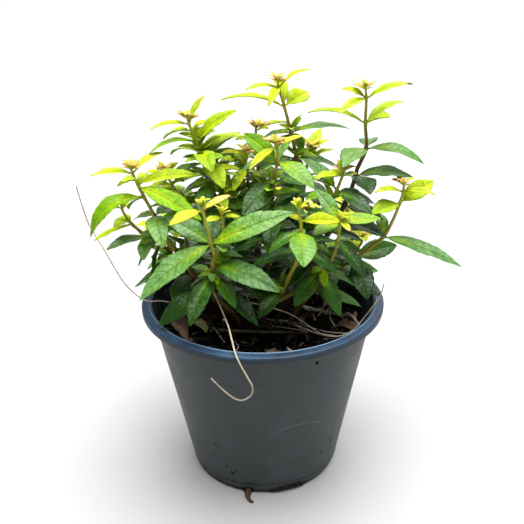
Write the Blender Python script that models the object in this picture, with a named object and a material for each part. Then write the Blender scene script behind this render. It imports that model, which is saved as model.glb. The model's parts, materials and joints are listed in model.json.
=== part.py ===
"""A potted lemon verbena in a round nursery pot.

Units are metres, +Z is up, and the origin is the centre of the pot's flat underside.
The plant's own table is written in millimetres, and MM turns it into metres.
"""
import math
import random

import bmesh
import bpy
from mathutils import Matrix
from mathutils import Vector
from mathutils import geometry
from mathutils import noise
from mathutils.bvhtree import BVHTree

MM = 0.001
GAP = 0.3

# Pot, in millimetres
RIM_RADIUS = 95.0
RIM_TOP = 146.0
RIM_BAND = 8.2
RIM_THICK = 1.9
SKIRT_HEIGHT = 5.4
SKIRT_THICK = 1.4
MOUTH_RADIUS = RIM_RADIUS - RIM_BAND
BODY_TOP_RADIUS = 88.0
BASE_RADIUS = 61.4
CORNER = 9.0
WALL = 1.4
FLOOR_THICK = 1.8
SHOULDER_Z = 133.0
SHOULDER_STEP = 1.1
POT_SIDES = 48
NOTCHES = 12
NOTCH_FIRST = -104.0
NOTCH_WIDTH = 14.0
NOTCH_HEIGHT = 4.5
NOTCH_REACH = (49.0, 68.0)

# Soil, in millimetres
SOIL_TOP = 120.5
SOIL_GRID = 13.5
SOIL_BUMP = 2.4
SOIL_BUMP_SIZE = 17.0
STEM_DEPTH = 12.0
LEAF_FLOOR = 129.0

# Stems and leaves, in millimetres
STEM_SIDES = 4
TIP_RADIUS = 1.1
BASE_STEM_RADIUS = 2.3
SHOOT_GROWTH = 0.011
RIB_THICK = 1.1
PETIOLE_WIDTH = 1.7
STALK_SHARE = 0.27
ROOT_SINK = 0.15
GRIP = 1.3
FACE_LEAN = 14.0
LARGE_BLADE = 43.0
MEDIUM_BLADE = 26.0
SMALL_BLADE = 14.0
FOLD = 14.0
SIDE_MARGIN = 0.7
TOOTH_DEPTH = 0.16
SEED = 41

# Each leafy stem: its courses from root to tip, then whorls by height, lowest leaves last.
# A leaf is its azimuth, rise, length, width, arch and, where it leans to one side, roll; angles in degrees.
# The number after a course says how many whorls a rule grows below those given, or in place of none.
STEMS = {
    "stem_tall_center": (
        (((4, 15, 108), (4, 15, 126), (16, 15, 170), (29, 18, 228), (27, 16, 254), (23, 14, 274), (18, 12, 294),
          (14, 10, 308), (13, 10, 313)), 1, (
            (308, ((200, 0, 26, 5, 45), (15, 25, 27, 5, 50), (250, -20, 25, 6, 60))),
            (294, ((175, 5, 48, 8, 45), (50, 10, 30, 14, 35, 30), (100, 15, 34, 9, 70))),
            (274, ((10, 0, 45, 9, 45), (150, -15, 24, 8, 30), (245, -30, 31, 11, 40), (70, -40, 36, 10, 40))),
            (254, ((20, -20, 40, 11, 35), (200, -10, 29, 12, 40), (90, -45, 40, 12, 40))))),
        (((23, 16, 195), (32, 27, 214), (35, 32, 231), (37, 34, 247), (39, 35, 257)), 0, (
            (253, ((20, 25, 19, 6, 40), (225, 10, 17, 10, 30))),
            (245, ((5, 25, 23, 8, 40), (65, 35, 35, 9, 40), (110, -10, 30, 10, 40))),
            (231, ((140, -15, 34, 12, 40), (50, -25, 36, 12, 40)))))),
    "stem_tall_right": (
        (((18, 12, 108), (18, 12, 126), (40, 13, 170), (64, 12, 217), (71, 12, 237), (73, 12, 246), (79, 13, 261),
          (78, 14, 279), (78, 15, 298), (77, 15, 306)), 1, (
            (298, ((155, 15, 21, 6, 50), (5, 15, 36, 8, 45), (225, -10, 32, 7, 40))),
            (280, ((175, 10, 44, 9, 50), (310, 20, 25, 15, 25), (35, 15, 41, 9, 40))),
            (261, ((355, -15, 45, 12, 60), (235, -10, 35, 18, 45), (75, 0, 29, 14, 40))),
            (240, ((350, 0, 44, 14, 55), (285, -10, 30, 18, 50), (155, -15, 32, 12, 40))),
            (217, ((325, -10, 34, 14, 40), (230, 15, 33, 13, 40), (70, -20, 38, 13, 40))))),),
    "stem_left_high": (
        (((-14, 12, 108), (-14, 12, 126), (-20, 6, 160), (-28, 0, 194), (-37, 0, 243), (-41, 0, 254), (-45, 0, 266),
          (-46, 0, 272), (-50, 0, 282), (-52, 0, 289)), 1, (
            (285, ((25, 55, 24, 7, 25), (190, -5, 28, 6, 40))),
            (280, ((150, -20, 28, 8, 50), (55, 0, 31, 7, 40))),
            (272, ((195, -10, 36, 8, 55), (10, 35, 37, 11, 40, 30), (60, 5, 26, 8, 30))),
            (264, ((5, 35, 20, 9, 20), (290, -10, 33, 14, 50), (130, -15, 40, 10, 50))),
            (256, ((200, -20, 33, 10, 40), (35, 5, 33, 12, 40), (300, -20, 33, 14, 40))),
            (241, ((145, -25, 31, 11, 40), (20, -20, 32, 13, 40), (255, -30, 31, 12, 40))))),
        (((-26, 1, 184), (-27, 9, 205), (-30, 14, 226), (-32, 15, 242), (-33, 15, 256)), 0, (
            (253, ((40, 20, 17, 6, 40), (225, -10, 14, 6, 30))),
            (242, ((330, 20, 21, 9, 40), (140, -20, 21, 9, 30), (265, -20, 25, 10, 40))),
            (226, ((100, -10, 34, 11, 40), (180, -15, 32, 11, 40)))))),
    "stem_left_low": (
        (((-30, 6, 108), (-30, 6, 126), (-42, -3, 150), (-55, -12, 175), (-72, -16, 206), (-78, -18, 222),
          (-85, -20, 239), (-90, -20, 252), (-92, -20, 259)), 0, (
            (255, ((190, 0, 30, 7, 35), (35, 30, 28, 8, 40))),
            (245, ((245, 25, 22, 6, 80), (80, 0, 28, 9, 40), (335, -20, 54, 14, 35, 28))),
            (237, ((205, -30, 48, 14, 100, -20), (135, -35, 25, 9, 40))),
            (222, ((285, -20, 37, 16, 70), (150, -20, 24, 9, 40), (65, -10, 29, 10, 40))),
            (206, ((170, -50, 34, 13, 30), (140, -60, 40, 13, 30), (65, -30, 30, 12, 30))))),
        (((-54, -11, 173), (-58, 0, 200), (-58, 6, 221), (-67, 8, 237), (-72, 10, 248)), 0, (
            (245, ((50, 25, 14, 5, 30), (210, 5, 17, 6, 30))),
            (237, ((300, 20, 25, 8, 40), (160, -10, 19, 6, 30), (255, -15, 21, 9, 40))),
            (221, ((80, -10, 32, 10, 40), (190, -20, 30, 10, 40)))))),
    "stem_left_lowest": (
        (((-42, 14, 108), (-42, 14, 126), (-56, 6, 160), (-73, -4, 190), (-84, -8, 200), (-96, -10, 212),
          (-102, -10, 222), (-103, -10, 227)), 1, (
            (225, ((210, 15, 12, 5, 40), (65, 10, 9, 4, 30))),
            (213, ((195, -20, 31, 7, 10), (235, 10, 19, 9, 60), (130, 0, 18, 8, 40))),
            (201, ((210, -5, 34, 11, 40), (110, -10, 24, 9, 30), (280, -30, 24, 11, 40))),
            (182, ((200, -25, 36, 11, 40), (130, -20, 34, 11, 40))))),),
    "stem_front_left": (
        (((-20, -4, 108), (-20, -4, 126), (-28, -26, 150), (-36, -45, 174), (-35, -52, 195), (-33, -56, 206),
          (-35, -58, 216), (-37, -60, 230), (-39, -60, 240), (-39, -60, 244)), 1, (
            (241, ((35, 15, 23, 6, 30), (205, -15, 26, 9, 30, -20), (160, 50, 9, 3, 30))),
            (215, ((150, 20, 39, 15, 25, -35), (5, 20, 61, 18, 25, 38),
                   (205, -30, 62, 19, 30, -22))),
            (198, ((330, -10, 55, 17, 35, 30), (35, -10, 39, 12, 30))),
            (189, ((245, -35, 43, 15, 40), (310, -35, 31, 12, 30), (140, -40, 33, 12, 30))))),
        (((-34, -54, 199), (-29, -46, 208), (-27, -38, 219), (-28, -36, 229)), 0, (
            (227, ((215, 0, 14, 7, 20), (345, 5, 14, 6, 20), (90, 60, 8, 4, 10))),
            (214, ((275, -5, 24, 12, 30), (40, -10, 24, 9, 30)))))),
    "stem_center": (
        (((0, 4, 108), (0, 4, 126), (3, -12, 165), (6, -22, 207), (8, -21, 230), (9, -20, 247), (12, -20, 262),
          (12, -20, 272), (11, -20, 275)), 0, (
            (273, ((30, 10, 24, 7, 35), (220, -25, 28, 9, 40))),
            (262, ((145, 30, 33, 13, 30, -30), (315, -20, 37, 15, 45, 15), (205, -5, 28, 10, 40, -20))),
            (247, ((230, -25, 38, 17, 30, -25), (10, -10, 32, 12, 40, 20), (115, 0, 26, 10, 40))),
            (226, ((320, 5, 32, 13, 30), (160, 0, 28, 11, 30), (265, -30, 35, 14, 40))),
            (205, ((220, -20, 38, 14, 40), (30, -15, 34, 13, 40), (300, -30, 36, 14, 40))))),
        (((3, -13, 167), (-4, -2, 195), (-8, 8, 224), (-10, 9, 243), (-11, 10, 261)), 0, (
            (258, ((205, 5, 21, 7, 40), (35, 10, 21, 6, 40))),
            (249, ((245, -20, 26, 9, 40), (310, 20, 22, 8, 30), (110, 15, 27, 9, 30))),
            (232, ((165, -25, 25, 10, 30), (340, -15, 22, 10, 30), (270, -25, 26, 11, 40)))))),
    "stem_right": (
        (((22, -4, 108), (22, -4, 126), (38, 0, 147), (56, 4, 164), (70, 2, 175), (83, 0, 186), (93, -2, 196),
          (99, -2, 208), (104, -2, 223), (106, -2, 233), (106, -2, 238)), 0, (
            (232, ((200, 5, 24, 8, 35), (345, -5, 25, 5, 60))),
            (223, ((30, 20, 34, 14, 30, 38), (215, -5, 29, 14, 30, -15))),
            (196, ((350, -20, 64, 13, 20, 25), (100, 40, 21, 9, 60))),
            (177, ((25, 5, 39, 16, 20, 38), (285, -40, 36, 18, 25, 0))),
            (164, ((330, -30, 44, 13, 20), (70, 15, 34, 12, 30))))),),
    "stem_right_center": (
        (((12, 4, 108), (12, 4, 126), (28, -4, 165), (42, -10, 201), (52, -8, 227), (56, -6, 235), (60, -5, 246),
          (60, -5, 250)), 1, (
            (246, ((200, 0, 23, 9, 40), (320, 15, 13, 6, 30), (125, 5, 14, 6, 30))),
            (235, ((150, 35, 36, 12, 45, -20), (320, -20, 33, 13, 25, 15), (20, -25, 36, 14, 25, 25))),
            (227, ((195, 15, 28, 11, 30), (60, -20, 29, 12, 30), (275, -30, 31, 13, 30))),
            (205, ((10, -20, 36, 13, 40), (130, -10, 34, 12, 40), (250, -20, 34, 13, 40))))),),
    "stem_front_center": (
        (((-6, -8, 108), (-6, -8, 126), (8, -34, 155), (20, -50, 188), (27, -56, 209), (27, -60, 225), (26, -60, 236),
          (25, -60, 241)), 0, (
            (232, ((10, -5, 28, 10, 20, 32), (130, 0, 14, 6, 20))),
            (225, ((270, -20, 36, 19, 25), (205, -25, 27, 12, 30))),
            (209, ((190, -15, 36, 13, 30), (345, -30, 30, 12, 30))),
            (172, ((20, 45, 32, 15, 15, 25), (230, -25, 30, 13, 30), (130, -10, 34, 13, 30))))),
        (((9, -36, 158), (32, -38, 174), (49, -36, 190), (54, -40, 209), (55, -45, 227)), 0, (
            (227, ((40, 40, 8, 4, 10), (295, -15, 14, 5, 20))),
            (225, ((215, -10, 25, 11, 30, -20), (10, 0, 30, 10, 15, 30), (135, 40, 29, 10, 20, -25))),
            (209, ((315, -40, 34, 13, 20), (195, 0, 27, 12, 30), (60, -20, 29, 11, 30))),
            (184, ((218, -40, 33, 14, 30), (310, -55, 36, 13, 25), (25, -32, 35, 13, 25)))))),
    "stem_back_center": (
        (((-6, 25, 108), (-6, 25, 126), (-4, 25, 180), (-2, 25, 250), (-3, 25, 266), (-3, 25, 276)), 1, (
            (273, ((10, 10, 27, 6, 40), (305, 15, 17, 5, 30))),
            (266, ((200, 5, 17, 6, 30), (60, -10, 19, 7, 40))),
            (250, ((170, 15, 24, 9, 30), (335, -5, 26, 11, 40), (80, -10, 30, 10, 40))),
            (232, ((110, -15, 36, 12, 40), (20, -20, 34, 12, 40), (215, -20, 30, 11, 40))))),
        (((-5, 25, 148), (-1, 48, 168), (0, 72, 184), (0, 84, 197)), 3, ())),
    "stem_back_left": (
        (((-22, 25, 108), (-22, 25, 126), (-32, 38, 150), (-48, 56, 174), (-58, 67, 188), (-60, 70, 196)), 3, ()),
        (((-31, 37, 148), (-30, 64, 160), (-30, 90, 172), (-30, 100, 180)), 3, ())),
    "stem_back_right": (
        (((12, 27, 108), (12, 27, 126), (32, 40, 150), (56, 58, 172), (71, 71, 184), (74, 74, 192)), 3, ()),
        (((30, 39, 148), (37, 64, 162), (40, 86, 174), (40, 94, 184)), 2, ())),
    "stem_left_back": (
        (((-36, 24, 108), (-36, 24, 126), (-52, 33, 150), (-72, 42, 172), (-80, 45, 180), (-83, 46, 188)), 3, ()),),
    "stem_right_back": (
        (((28, 20, 108), (28, 20, 126), (48, 30, 144), (70, 41, 158), (82, 47, 168), (85, 48, 176)), 3, ()),),
}

# Long dried stalks: points and radius, in millimetres
STALKS = {
    "stalk_left": (((-50, 2, 110), (-52, 0, 128), (-64, -9, 143), (-78, -12, 149.0), (-92, -10, 149.2), (-107, -6, 162),
                    (-121, -2, 189), (-128, 0, 202), (-132, 0, 213), (-136, 0, 233), (-137, 0, 240)), 0.5),
    "stalk_front": (((-28, -30, 110), (-29, -34, 130), (-29, -50, 152), (-25, -68, 158), (-22, -82, 155),
                     (-19, -93, 148.6), (-15, -99, 142), (-11, -100, 134), (-8, -99, 126), (-9, -97, 118),
                     (-15, -95, 112.5), (-21, -96, 115), (-28, -98, 123), (-36, -100, 134)), 0.6),
    "stalk_right": (((-8, -24, 110), (-4, -27, 130), (13, -36, 142), (28, -41, 140), (43, -42, 134), (57, -38, 130),
                     (69, -30, 131), (79, -24, 140), (86, -21, 148.4), (90, -19, 154), (93, -16, 163)), 0.5),
}

# Root out of a drain notch, and litter on the soil, in millimetres
ROOT_PATH = ((-11.6, -48.5, 7.0), (-12.6, -52.5, 3.4), (-13.4, -57.0, 2.2), (-14.4, -62.0, 2.1), (-13.8, -66.5, 1.9),
             (-11.8, -70.0, 1.5), (-9.6, -70.8, 1.2))
ROOT_RADII = (1.9, 1.9, 1.9, 1.8, 1.5, 1.0, 0.5)
TWIGS = {
    "twig_long": (((-36, -12), (-12, -16), (12, -15), (34, -19)), 1.2),
    "twig_thin": (((18, -40), (24, -50), (30, -62)), 0.7),
    "twig_pale_right": (((50, 18), (60, 15), (71, 8)), 1.0),
    "twig_left": (((-50, 30), (-59, 22), (-68, 18)), 0.9),
}
DEAD_LEAVES = {
    "dead_leaf_brown": ((-72, 5), 295, 33, 12),
    "dead_leaf_yellow": ((-57, 3), 307, 21, 8),
    "dead_leaf_front": ((-6, -62), 20, 26, 10),
    "dead_leaf_right": ((56, -6), 330, 24, 9),
}


def lerp_path(path, height):
    """Point on a stem's course at a height, which rises all the way."""
    for low, high in zip(path, path[1:]):
        if low[2] <= height <= high[2] and high[2] > low[2]:
            share = (height - low[2]) / (high[2] - low[2])
            return Vector(low).lerp(Vector(high), share)
    return Vector(path[-1])


def stem_radius(path, height):
    """Radius of a course at a height: thicker the further it lies below the tip."""
    return min(BASE_STEM_RADIUS, TIP_RADIUS + SHOOT_GROWTH * (path[-1][2] - height))


def stem_radii(path):
    """Radius at each point of a course."""
    return [stem_radius(path, point[2]) for point in path]


def tube(points, radii, sides, pad=0.0):
    """Closed tube along points, as vertices and triangles."""
    points = [Vector(point) for point in points]
    vertices = []
    faces = []
    across = None
    for index, point in enumerate(points):
        ahead = points[min(index + 1, len(points) - 1)]
        behind = points[max(index - 1, 0)]
        along = (ahead - behind).normalized()
        if across is None:
            across = along.orthogonal().normalized()
        across = (across - along * across.dot(along)).normalized()
        other = along.cross(across)
        for side in range(sides):
            angle = math.tau * side / sides
            ring = across * math.cos(angle) + other * math.sin(angle)
            vertices.append(point + ring * (radii[index] + pad))
    for index in range(len(points) - 1):
        for side in range(sides):
            a = index * sides + side
            b = index * sides + (side + 1) % sides
            faces.append((a, b, b + sides))
            faces.append((a, b + sides, a + sides))
    last = (len(points) - 1) * sides
    for side in range(1, sides - 1):
        faces.append((0, side + 1, side))
        faces.append((last, last + side, last + side + 1))
    return vertices, faces


def blade_stations(length):
    """Shares of a blade's length with a tooth mark: 1 at a tooth's point, 0 in its notch."""
    if length > LARGE_BLADE:
        return ((0.3, 1), (0.45, 0), (0.57, 1), (0.67, 0), (0.79, 1))
    if length > MEDIUM_BLADE:
        return ((0.3, 1), (0.55, 1), (0.8, 1))
    if length > SMALL_BLADE:
        return ((0.38, 1), (0.72, 1))
    return ((0.5, 1),)


def blade_shape(share):
    """Half-width of a lance-shaped blade at a share of its length, from 0 to 1."""
    peak = 0.47
    return (share / peak) ** (peak * 1.5) * ((1.0 - share) / (1.0 - peak)) ** ((1.0 - peak) * 1.5)


def blade(leaf, pad=0.0, outer=False):
    """Closed arched blade as vertices and triangles: a point in its stem, a stalk ring, the blade and its tip.

    Large blades are folded along the rib. With outer, the stretch next to the stem is left out.
    """
    azimuth = math.radians(leaf["azimuth"])
    rise = math.radians(leaf["rise"])
    along = Vector((math.cos(rise) * math.cos(azimuth), math.cos(rise) * math.sin(azimuth), math.sin(rise)))
    side = Matrix.Rotation(math.radians(leaf["roll"]), 3, along) @ Vector((-math.sin(azimuth), math.cos(azimuth), 0))
    up = along.cross(side)
    bend = math.tan(math.radians(leaf["arch"]) / 2)
    fold = math.tan(math.radians(FOLD))
    ribbed = leaf["length"] > LARGE_BLADE
    around = 4 if ribbed else 3
    stations = blade_stations(leaf["length"])
    if not outer:
        stations = ((leaf["grip"] / leaf["length"], 1),) + stations
    vertices = []
    faces = []
    for share, tooth in stations:
        centre = leaf["base"] + (along * share + up * bend * share * (1 - share)) * leaf["length"]
        tangent = (along + up * bend * (1 - 2 * share)).normalized()
        normal = tangent.cross(side)
        half = leaf["width"] / 2 * blade_shape(share) * (1.0 if tooth else 1.0 - TOOTH_DEPTH)
        if share < STALK_SHARE:
            half = PETIOLE_WIDTH / 2
        half += pad
        thick = RIB_THICK * (1.0 - 0.35 * share) / 2 + pad
        raised = half * fold if ribbed else thick
        vertices.append(centre - side * half + normal * raised)
        if ribbed:
            vertices.append(centre + normal * thick)
        vertices.append(centre + side * half + normal * raised)
        vertices.append(centre - normal * thick)
    for ring in range(len(stations) - 1):
        a = around * ring
        b = a + around
        if ribbed:
            faces.extend(((a, b + 1, a + 1), (a, b, b + 1), (a + 2, a + 1, b + 1), (a + 2, b + 1, b + 2)))
            faces.extend(((a, a + 3, b + 3), (a, b + 3, b), (a + 2, b + 3, a + 3), (a + 2, b + 2, b + 3)))
        else:
            faces.extend(((a, b, b + 1), (a, b + 1, a + 1), (a, a + 2, b + 2), (a, b + 2, b)))
            faces.extend(((a + 1, b + 2, a + 2), (a + 1, b + 1, b + 2)))
    last = around * (len(stations) - 1)
    root = len(vertices)
    vertices.append(leaf["base"] + along * ROOT_SINK * leaf["grip"])
    vertices.append(leaf["base"] + along * (leaf["length"] + pad))
    if outer:
        vertices[root] = sum(vertices[:around], Vector()) / around
    for corner in range(around):
        after = (corner + 1) % around
        faces.append((corner, after, root))
        faces.append((last + corner, root + 1, last + after))
    return vertices, faces


def soil_height(x, y):
    """Height of the soil's uneven top."""
    rough = noise.noise(Vector((x / SOIL_BUMP_SIZE, y / SOIL_BUMP_SIZE, 3.7)))
    fine = noise.noise(Vector((x / 7.0, y / 7.0, 9.1)))
    return SOIL_TOP + SOIL_BUMP * rough + 0.8 * fine


def meets_pot(vertices):
    """Whether any point lies in the pot's wall or rim, or too near the soil."""
    for point in vertices:
        reach = math.hypot(point.x, point.y)
        if point.z < LEAF_FLOOR and reach < RIM_RADIUS:
            return True
        if point.z < RIM_TOP + 1.5 and MOUTH_RADIUS - 5.0 < reach < RIM_RADIUS + 2.0:
            return True
        if point.z < RIM_TOP and reach >= RIM_RADIUS and reach < RIM_RADIUS + 2.0:
            return True
    return False


def solid_entry(node, vertices, faces, outer=None):
    """What the clearing rule needs of one solid: its node, box and search trees."""
    low = [min(point[axis] for point in vertices) for axis in range(3)]
    high = [max(point[axis] for point in vertices) for axis in range(3)]
    tree = BVHTree.FromPolygons(vertices, faces)
    inner = tree if outer is None else BVHTree.FromPolygons(*outer)
    return {"node": node, "low": low, "high": high, "tree": tree, "outer": inner}


def is_clear(entry, solids):
    """Whether a leaf crosses no solid of another node, and no blade or stem of its own past its stalk."""
    for solid in solids:
        apart = any(entry["low"][axis] > solid["high"][axis] or entry["high"][axis] < solid["low"][axis]
                    for axis in range(3))
        if apart:
            continue
        key = "outer" if solid["node"] == entry["node"] else "tree"
        if entry[key].overlap(solid[key]):
            return False
    return True


def bends():
    """Turns, lifts and scales to try on a leaf, the smallest change first."""
    turns = (0, 7, -7, 14, -14, 22, -22, 32, -32, 45, -45)
    lifts = (0, 7, -7, 14, -14, 24, -24, 36)
    tries = [(abs(turn) + abs(lift) + 300 * (1 - scale), turn, lift, scale)
             for turn in turns for lift in lifts for scale in (1.0, 0.85, 0.7)]
    return sorted(tries)


def place(leaf, solids, tries):
    """Bends a leaf until it is clear of everything placed before it; None where nothing is."""
    for _, turn, lift, scale in tries:
        bent = dict(leaf)
        bent["azimuth"] += turn
        bent["rise"] = max(-75, min(80, bent["rise"] + lift))
        bent["length"] *= scale
        bent["width"] *= scale
        vertices, faces = blade(bent, SIDE_MARGIN)
        if meets_pot(vertices):
            continue
        entry = solid_entry(leaf["node"], vertices, faces, blade(bent, SIDE_MARGIN, True))
        if is_clear(entry, solids):
            solids.append(entry)
            return bent
    return None


def new_leaf(course, height, draw, azimuth, rise, length, width, arch, roll=None):
    """A leaf as a plain record; grip is how far from the stem's axis its stalk begins."""
    path = course[0]
    height = min(height, path[-1][2] - 0.8)
    base = lerp_path(path, height)
    radius = stem_radius(path, height)
    lean = FACE_LEAN * math.cos(math.radians(azimuth)) + draw.uniform(-10, 10)
    roll = lean if roll is None else roll
    steep = math.radians(min(70.0, abs(rise + 0.35 * arch)))
    return {"base": base, "azimuth": azimuth, "rise": rise, "length": length, "width": width, "arch": arch,
            "roll": roll, "grip": min(GRIP * radius / math.cos(steep), 0.25 * length)}


def table_leaves(course, draw):
    """Leaves that the table gives for one course."""
    for height, leaves in course[2]:
        for leaf in leaves:
            yield new_leaf(course, height, draw, *leaf)


def grown_leaves(course, draw):
    """Leaves that a rule adds: whorls of three down the course, each turned by 60 degrees from the last."""
    path, count, whorls = course
    spin = draw.uniform(0, 120)
    if whorls:
        height = whorls[-1][0] - 17
        first = 3
    else:
        height = path[-1][2] - 3
        first = 0
    lengths = (22, 33, 41, 44, 42, 40, 38)
    steps = (9, 13, 15, 15, 14, 14, 14)
    for index in range(count if whorls else count + 1):
        place_in_row = min(first + index, len(lengths) - 1)
        if height < SOIL_TOP + 13:
            break
        for third in range(3):
            length = lengths[place_in_row] * draw.uniform(0.85, 1.15)
            azimuth = spin + 120 * third + 60 * index + draw.uniform(-14, 14)
            rise = 24 - 14 * place_in_row + draw.uniform(-8, 8)
            width = length * draw.uniform(0.33, 0.42)
            arch = draw.uniform(30, 55)
            yield new_leaf(course, height, draw, azimuth, rise, length, width, arch)
        height -= steps[place_in_row]


def tip_leaves(course, draw):
    """The cluster of unopened leaves at a shoot's tip."""
    height = course[0][-1][2]
    spin = draw.uniform(0, 90)
    for index in range(3):
        azimuth = spin + 120 * index + draw.uniform(-12, 12)
        rise = 30 + 22 * (index % 2) + draw.uniform(-6, 6)
        yield new_leaf(course, height, draw, azimuth, rise, draw.uniform(8, 11), 3.6, 50)


def plan_leaves():
    """Every leaf of the plant, bent clear of its neighbours; table leaves first, then the grown ones."""
    draw = random.Random(SEED)
    solids = []
    for node, courses in STEMS.items():
        for path, _, _ in courses:
            solids.append(solid_entry(node, *tube(path, stem_radii(path), STEM_SIDES, SIDE_MARGIN)))
    for node, (path, radius) in STALKS.items():
        solids.append(solid_entry(node, *tube(path, [radius] * len(path), STEM_SIDES, SIDE_MARGIN)))
    tries = bends()
    leaves = []
    for source in (table_leaves, tip_leaves, grown_leaves):
        for node, courses in STEMS.items():
            for course in courses:
                for leaf in source(course, draw):
                    leaf["node"] = node
                    placed = place(leaf, solids, tries)
                    if placed:
                        leaves.append(placed)
    return leaves


def make_material(name, color, roughness, metallic=0.0):
    """Plain material of one colour."""
    material = bpy.data.materials.new(name)
    material.use_nodes = True
    shader = material.node_tree.nodes["Principled BSDF"]
    shader.inputs["Base Color"].default_value = (*color, 1.0)
    shader.inputs["Roughness"].default_value = roughness
    shader.inputs["Metallic"].default_value = metallic
    material.diffuse_color = (*color, 1.0)
    return material


def add_object(name, vertices, faces, material, smooth_angle=None):
    """Object of a mesh given in millimetres."""
    mesh = bpy.data.meshes.new(name)
    mesh.from_pydata([Vector(point) * MM for point in vertices], [], faces)
    mesh.update()
    if smooth_angle is not None:
        mesh.shade_smooth()
        mesh.set_sharp_from_angle(angle=math.radians(smooth_angle))
    mesh.materials.append(material)
    obj = bpy.data.objects.new(name, mesh)
    bpy.context.scene.collection.objects.link(obj)
    return obj


def apply_modifiers(obj):
    """Keeps the evaluated mesh of an object in place of its modifiers."""
    graph = bpy.context.evaluated_depsgraph_get()
    mesh = bpy.data.meshes.new_from_object(obj.evaluated_get(graph))
    mesh.name = obj.name
    obj.modifiers.clear()
    obj.data = mesh


def join_with(obj, helpers, operation):
    """One Boolean with a collection of helper objects, applied, and the helpers removed."""
    collection = bpy.data.collections.new(obj.name + "_helpers")
    bpy.context.scene.collection.children.link(collection)
    for helper in helpers:
        bpy.context.scene.collection.objects.unlink(helper)
        collection.objects.link(helper)
    boolean = obj.modifiers.new("join", "BOOLEAN")
    boolean.operation = operation
    boolean.operand_type = "COLLECTION"
    boolean.collection = collection
    boolean.solver = "EXACT"
    apply_modifiers(obj)
    for helper in helpers:
        bpy.data.objects.remove(helper)
    bpy.data.collections.remove(collection)


def turned(profile, sides):
    """Closed solid of revolution; the profile starts and ends on the axis and runs up its outer side."""
    vertices = []
    faces = []
    rings = []
    for radius, height in profile:
        if radius == 0:
            rings.append([len(vertices)] * sides)
            vertices.append(Vector((0, 0, height)))
        else:
            rings.append(list(range(len(vertices), len(vertices) + sides)))
            for side in range(sides):
                angle = math.tau * side / sides
                vertices.append(Vector((radius * math.cos(angle), radius * math.sin(angle), height)))
    for low, high in zip(rings, rings[1:]):
        for side in range(sides):
            after = (side + 1) % sides
            corners = (low[side], low[after], high[after], high[side])
            faces.append(tuple(dict.fromkeys(corners)))
    return vertices, faces


def arc(centre_radius, centre_height, radius, steps):
    """Points of a quarter circle from straight down to straight out."""
    for step in range(steps + 1):
        angle = math.radians(-90 + 90 * step / steps)
        yield (centre_radius + radius * math.cos(angle), centre_height + radius * math.sin(angle))


def body_radius(height):
    """Outer radius of the pot's tapered body."""
    share = (height - CORNER) / (RIM_TOP - CORNER)
    return BASE_RADIUS + share * (BODY_TOP_RADIUS - BASE_RADIUS)


def inner_profile(gap, top):
    """The pot's inner face up to a height, moved inward by a gap."""
    corner_centre = BASE_RADIUS - CORNER
    inner_corner = CORNER - WALL
    points = list(arc(corner_centre, FLOOR_THICK + inner_corner, inner_corner - gap, 2))
    points.append((body_radius(top) - WALL - gap, top))
    return points


def make_pot(material):
    """Thin tapered pot with a flat rim band, a hanging skirt, a stacking shoulder and drain notches."""
    skirt_bottom = RIM_TOP - SKIRT_HEIGHT
    underside = RIM_TOP - RIM_THICK
    outer = [(0, 0)] + list(arc(BASE_RADIUS - CORNER, CORNER, CORNER, 2))
    outer.append((body_radius(skirt_bottom), skirt_bottom))
    outer.append((body_radius(underside), underside))
    outer.append((RIM_RADIUS - SKIRT_THICK, underside))
    outer.append((RIM_RADIUS - SKIRT_THICK, skirt_bottom))
    outer.append((RIM_RADIUS, skirt_bottom))
    outer.append((RIM_RADIUS, RIM_TOP - 1.0))
    outer.append((RIM_RADIUS - 1.0, RIM_TOP))
    inner = [(0, FLOOR_THICK)] + inner_profile(0.0, SHOULDER_Z - SHOULDER_STEP)
    inner.append((body_radius(SHOULDER_Z) - WALL + SHOULDER_STEP * 0.4, SHOULDER_Z))
    inner.append((MOUTH_RADIUS, RIM_TOP - 0.8))
    inner.append((MOUTH_RADIUS + 0.8, RIM_TOP))
    vertices, faces = turned(outer + inner[::-1], POT_SIDES)
    pot = add_object("pot", vertices, faces, material, 35)
    cutters = []
    low, high = NOTCH_REACH
    for index in range(NOTCHES):
        turn = Matrix.Rotation(math.radians(NOTCH_FIRST + 360 * index / NOTCHES), 4, "Z")
        corners = [(x, y, z) for z in (-1.0, NOTCH_HEIGHT) for y in (-NOTCH_WIDTH / 2, NOTCH_WIDTH / 2)
                   for x in (low, high)]
        box = [turn @ Vector(corner) for corner in corners]
        sides = [(0, 2, 3, 1), (4, 5, 7, 6), (0, 1, 5, 4), (2, 6, 7, 3), (0, 4, 6, 2), (1, 3, 7, 5)]
        cutters.append(add_object("notch_%02d" % index, box, sides, material))
    join_with(pot, cutters, "DIFFERENCE")
    return pot


def soil_points(edge_radius):
    """Points of the soil's top: the rim of the fill, then an even grid shaken by seeded draws."""
    draw = random.Random(SEED + 1)
    points = []
    for side in range(POT_SIDES):
        angle = math.tau * side / POT_SIDES
        points.append(Vector((edge_radius * math.cos(angle), edge_radius * math.sin(angle))))
    rows = int(edge_radius / (SOIL_GRID * 0.866)) + 1
    for row in range(-rows, rows + 1):
        for column in range(-rows, rows + 1):
            x = (column + 0.5 * (row % 2)) * SOIL_GRID + draw.uniform(-1.5, 1.5)
            y = row * SOIL_GRID * 0.866 + draw.uniform(-1.5, 1.5)
            if math.hypot(x, y) < edge_radius - 0.55 * SOIL_GRID:
                points.append(Vector((x, y)))
    return points


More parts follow.
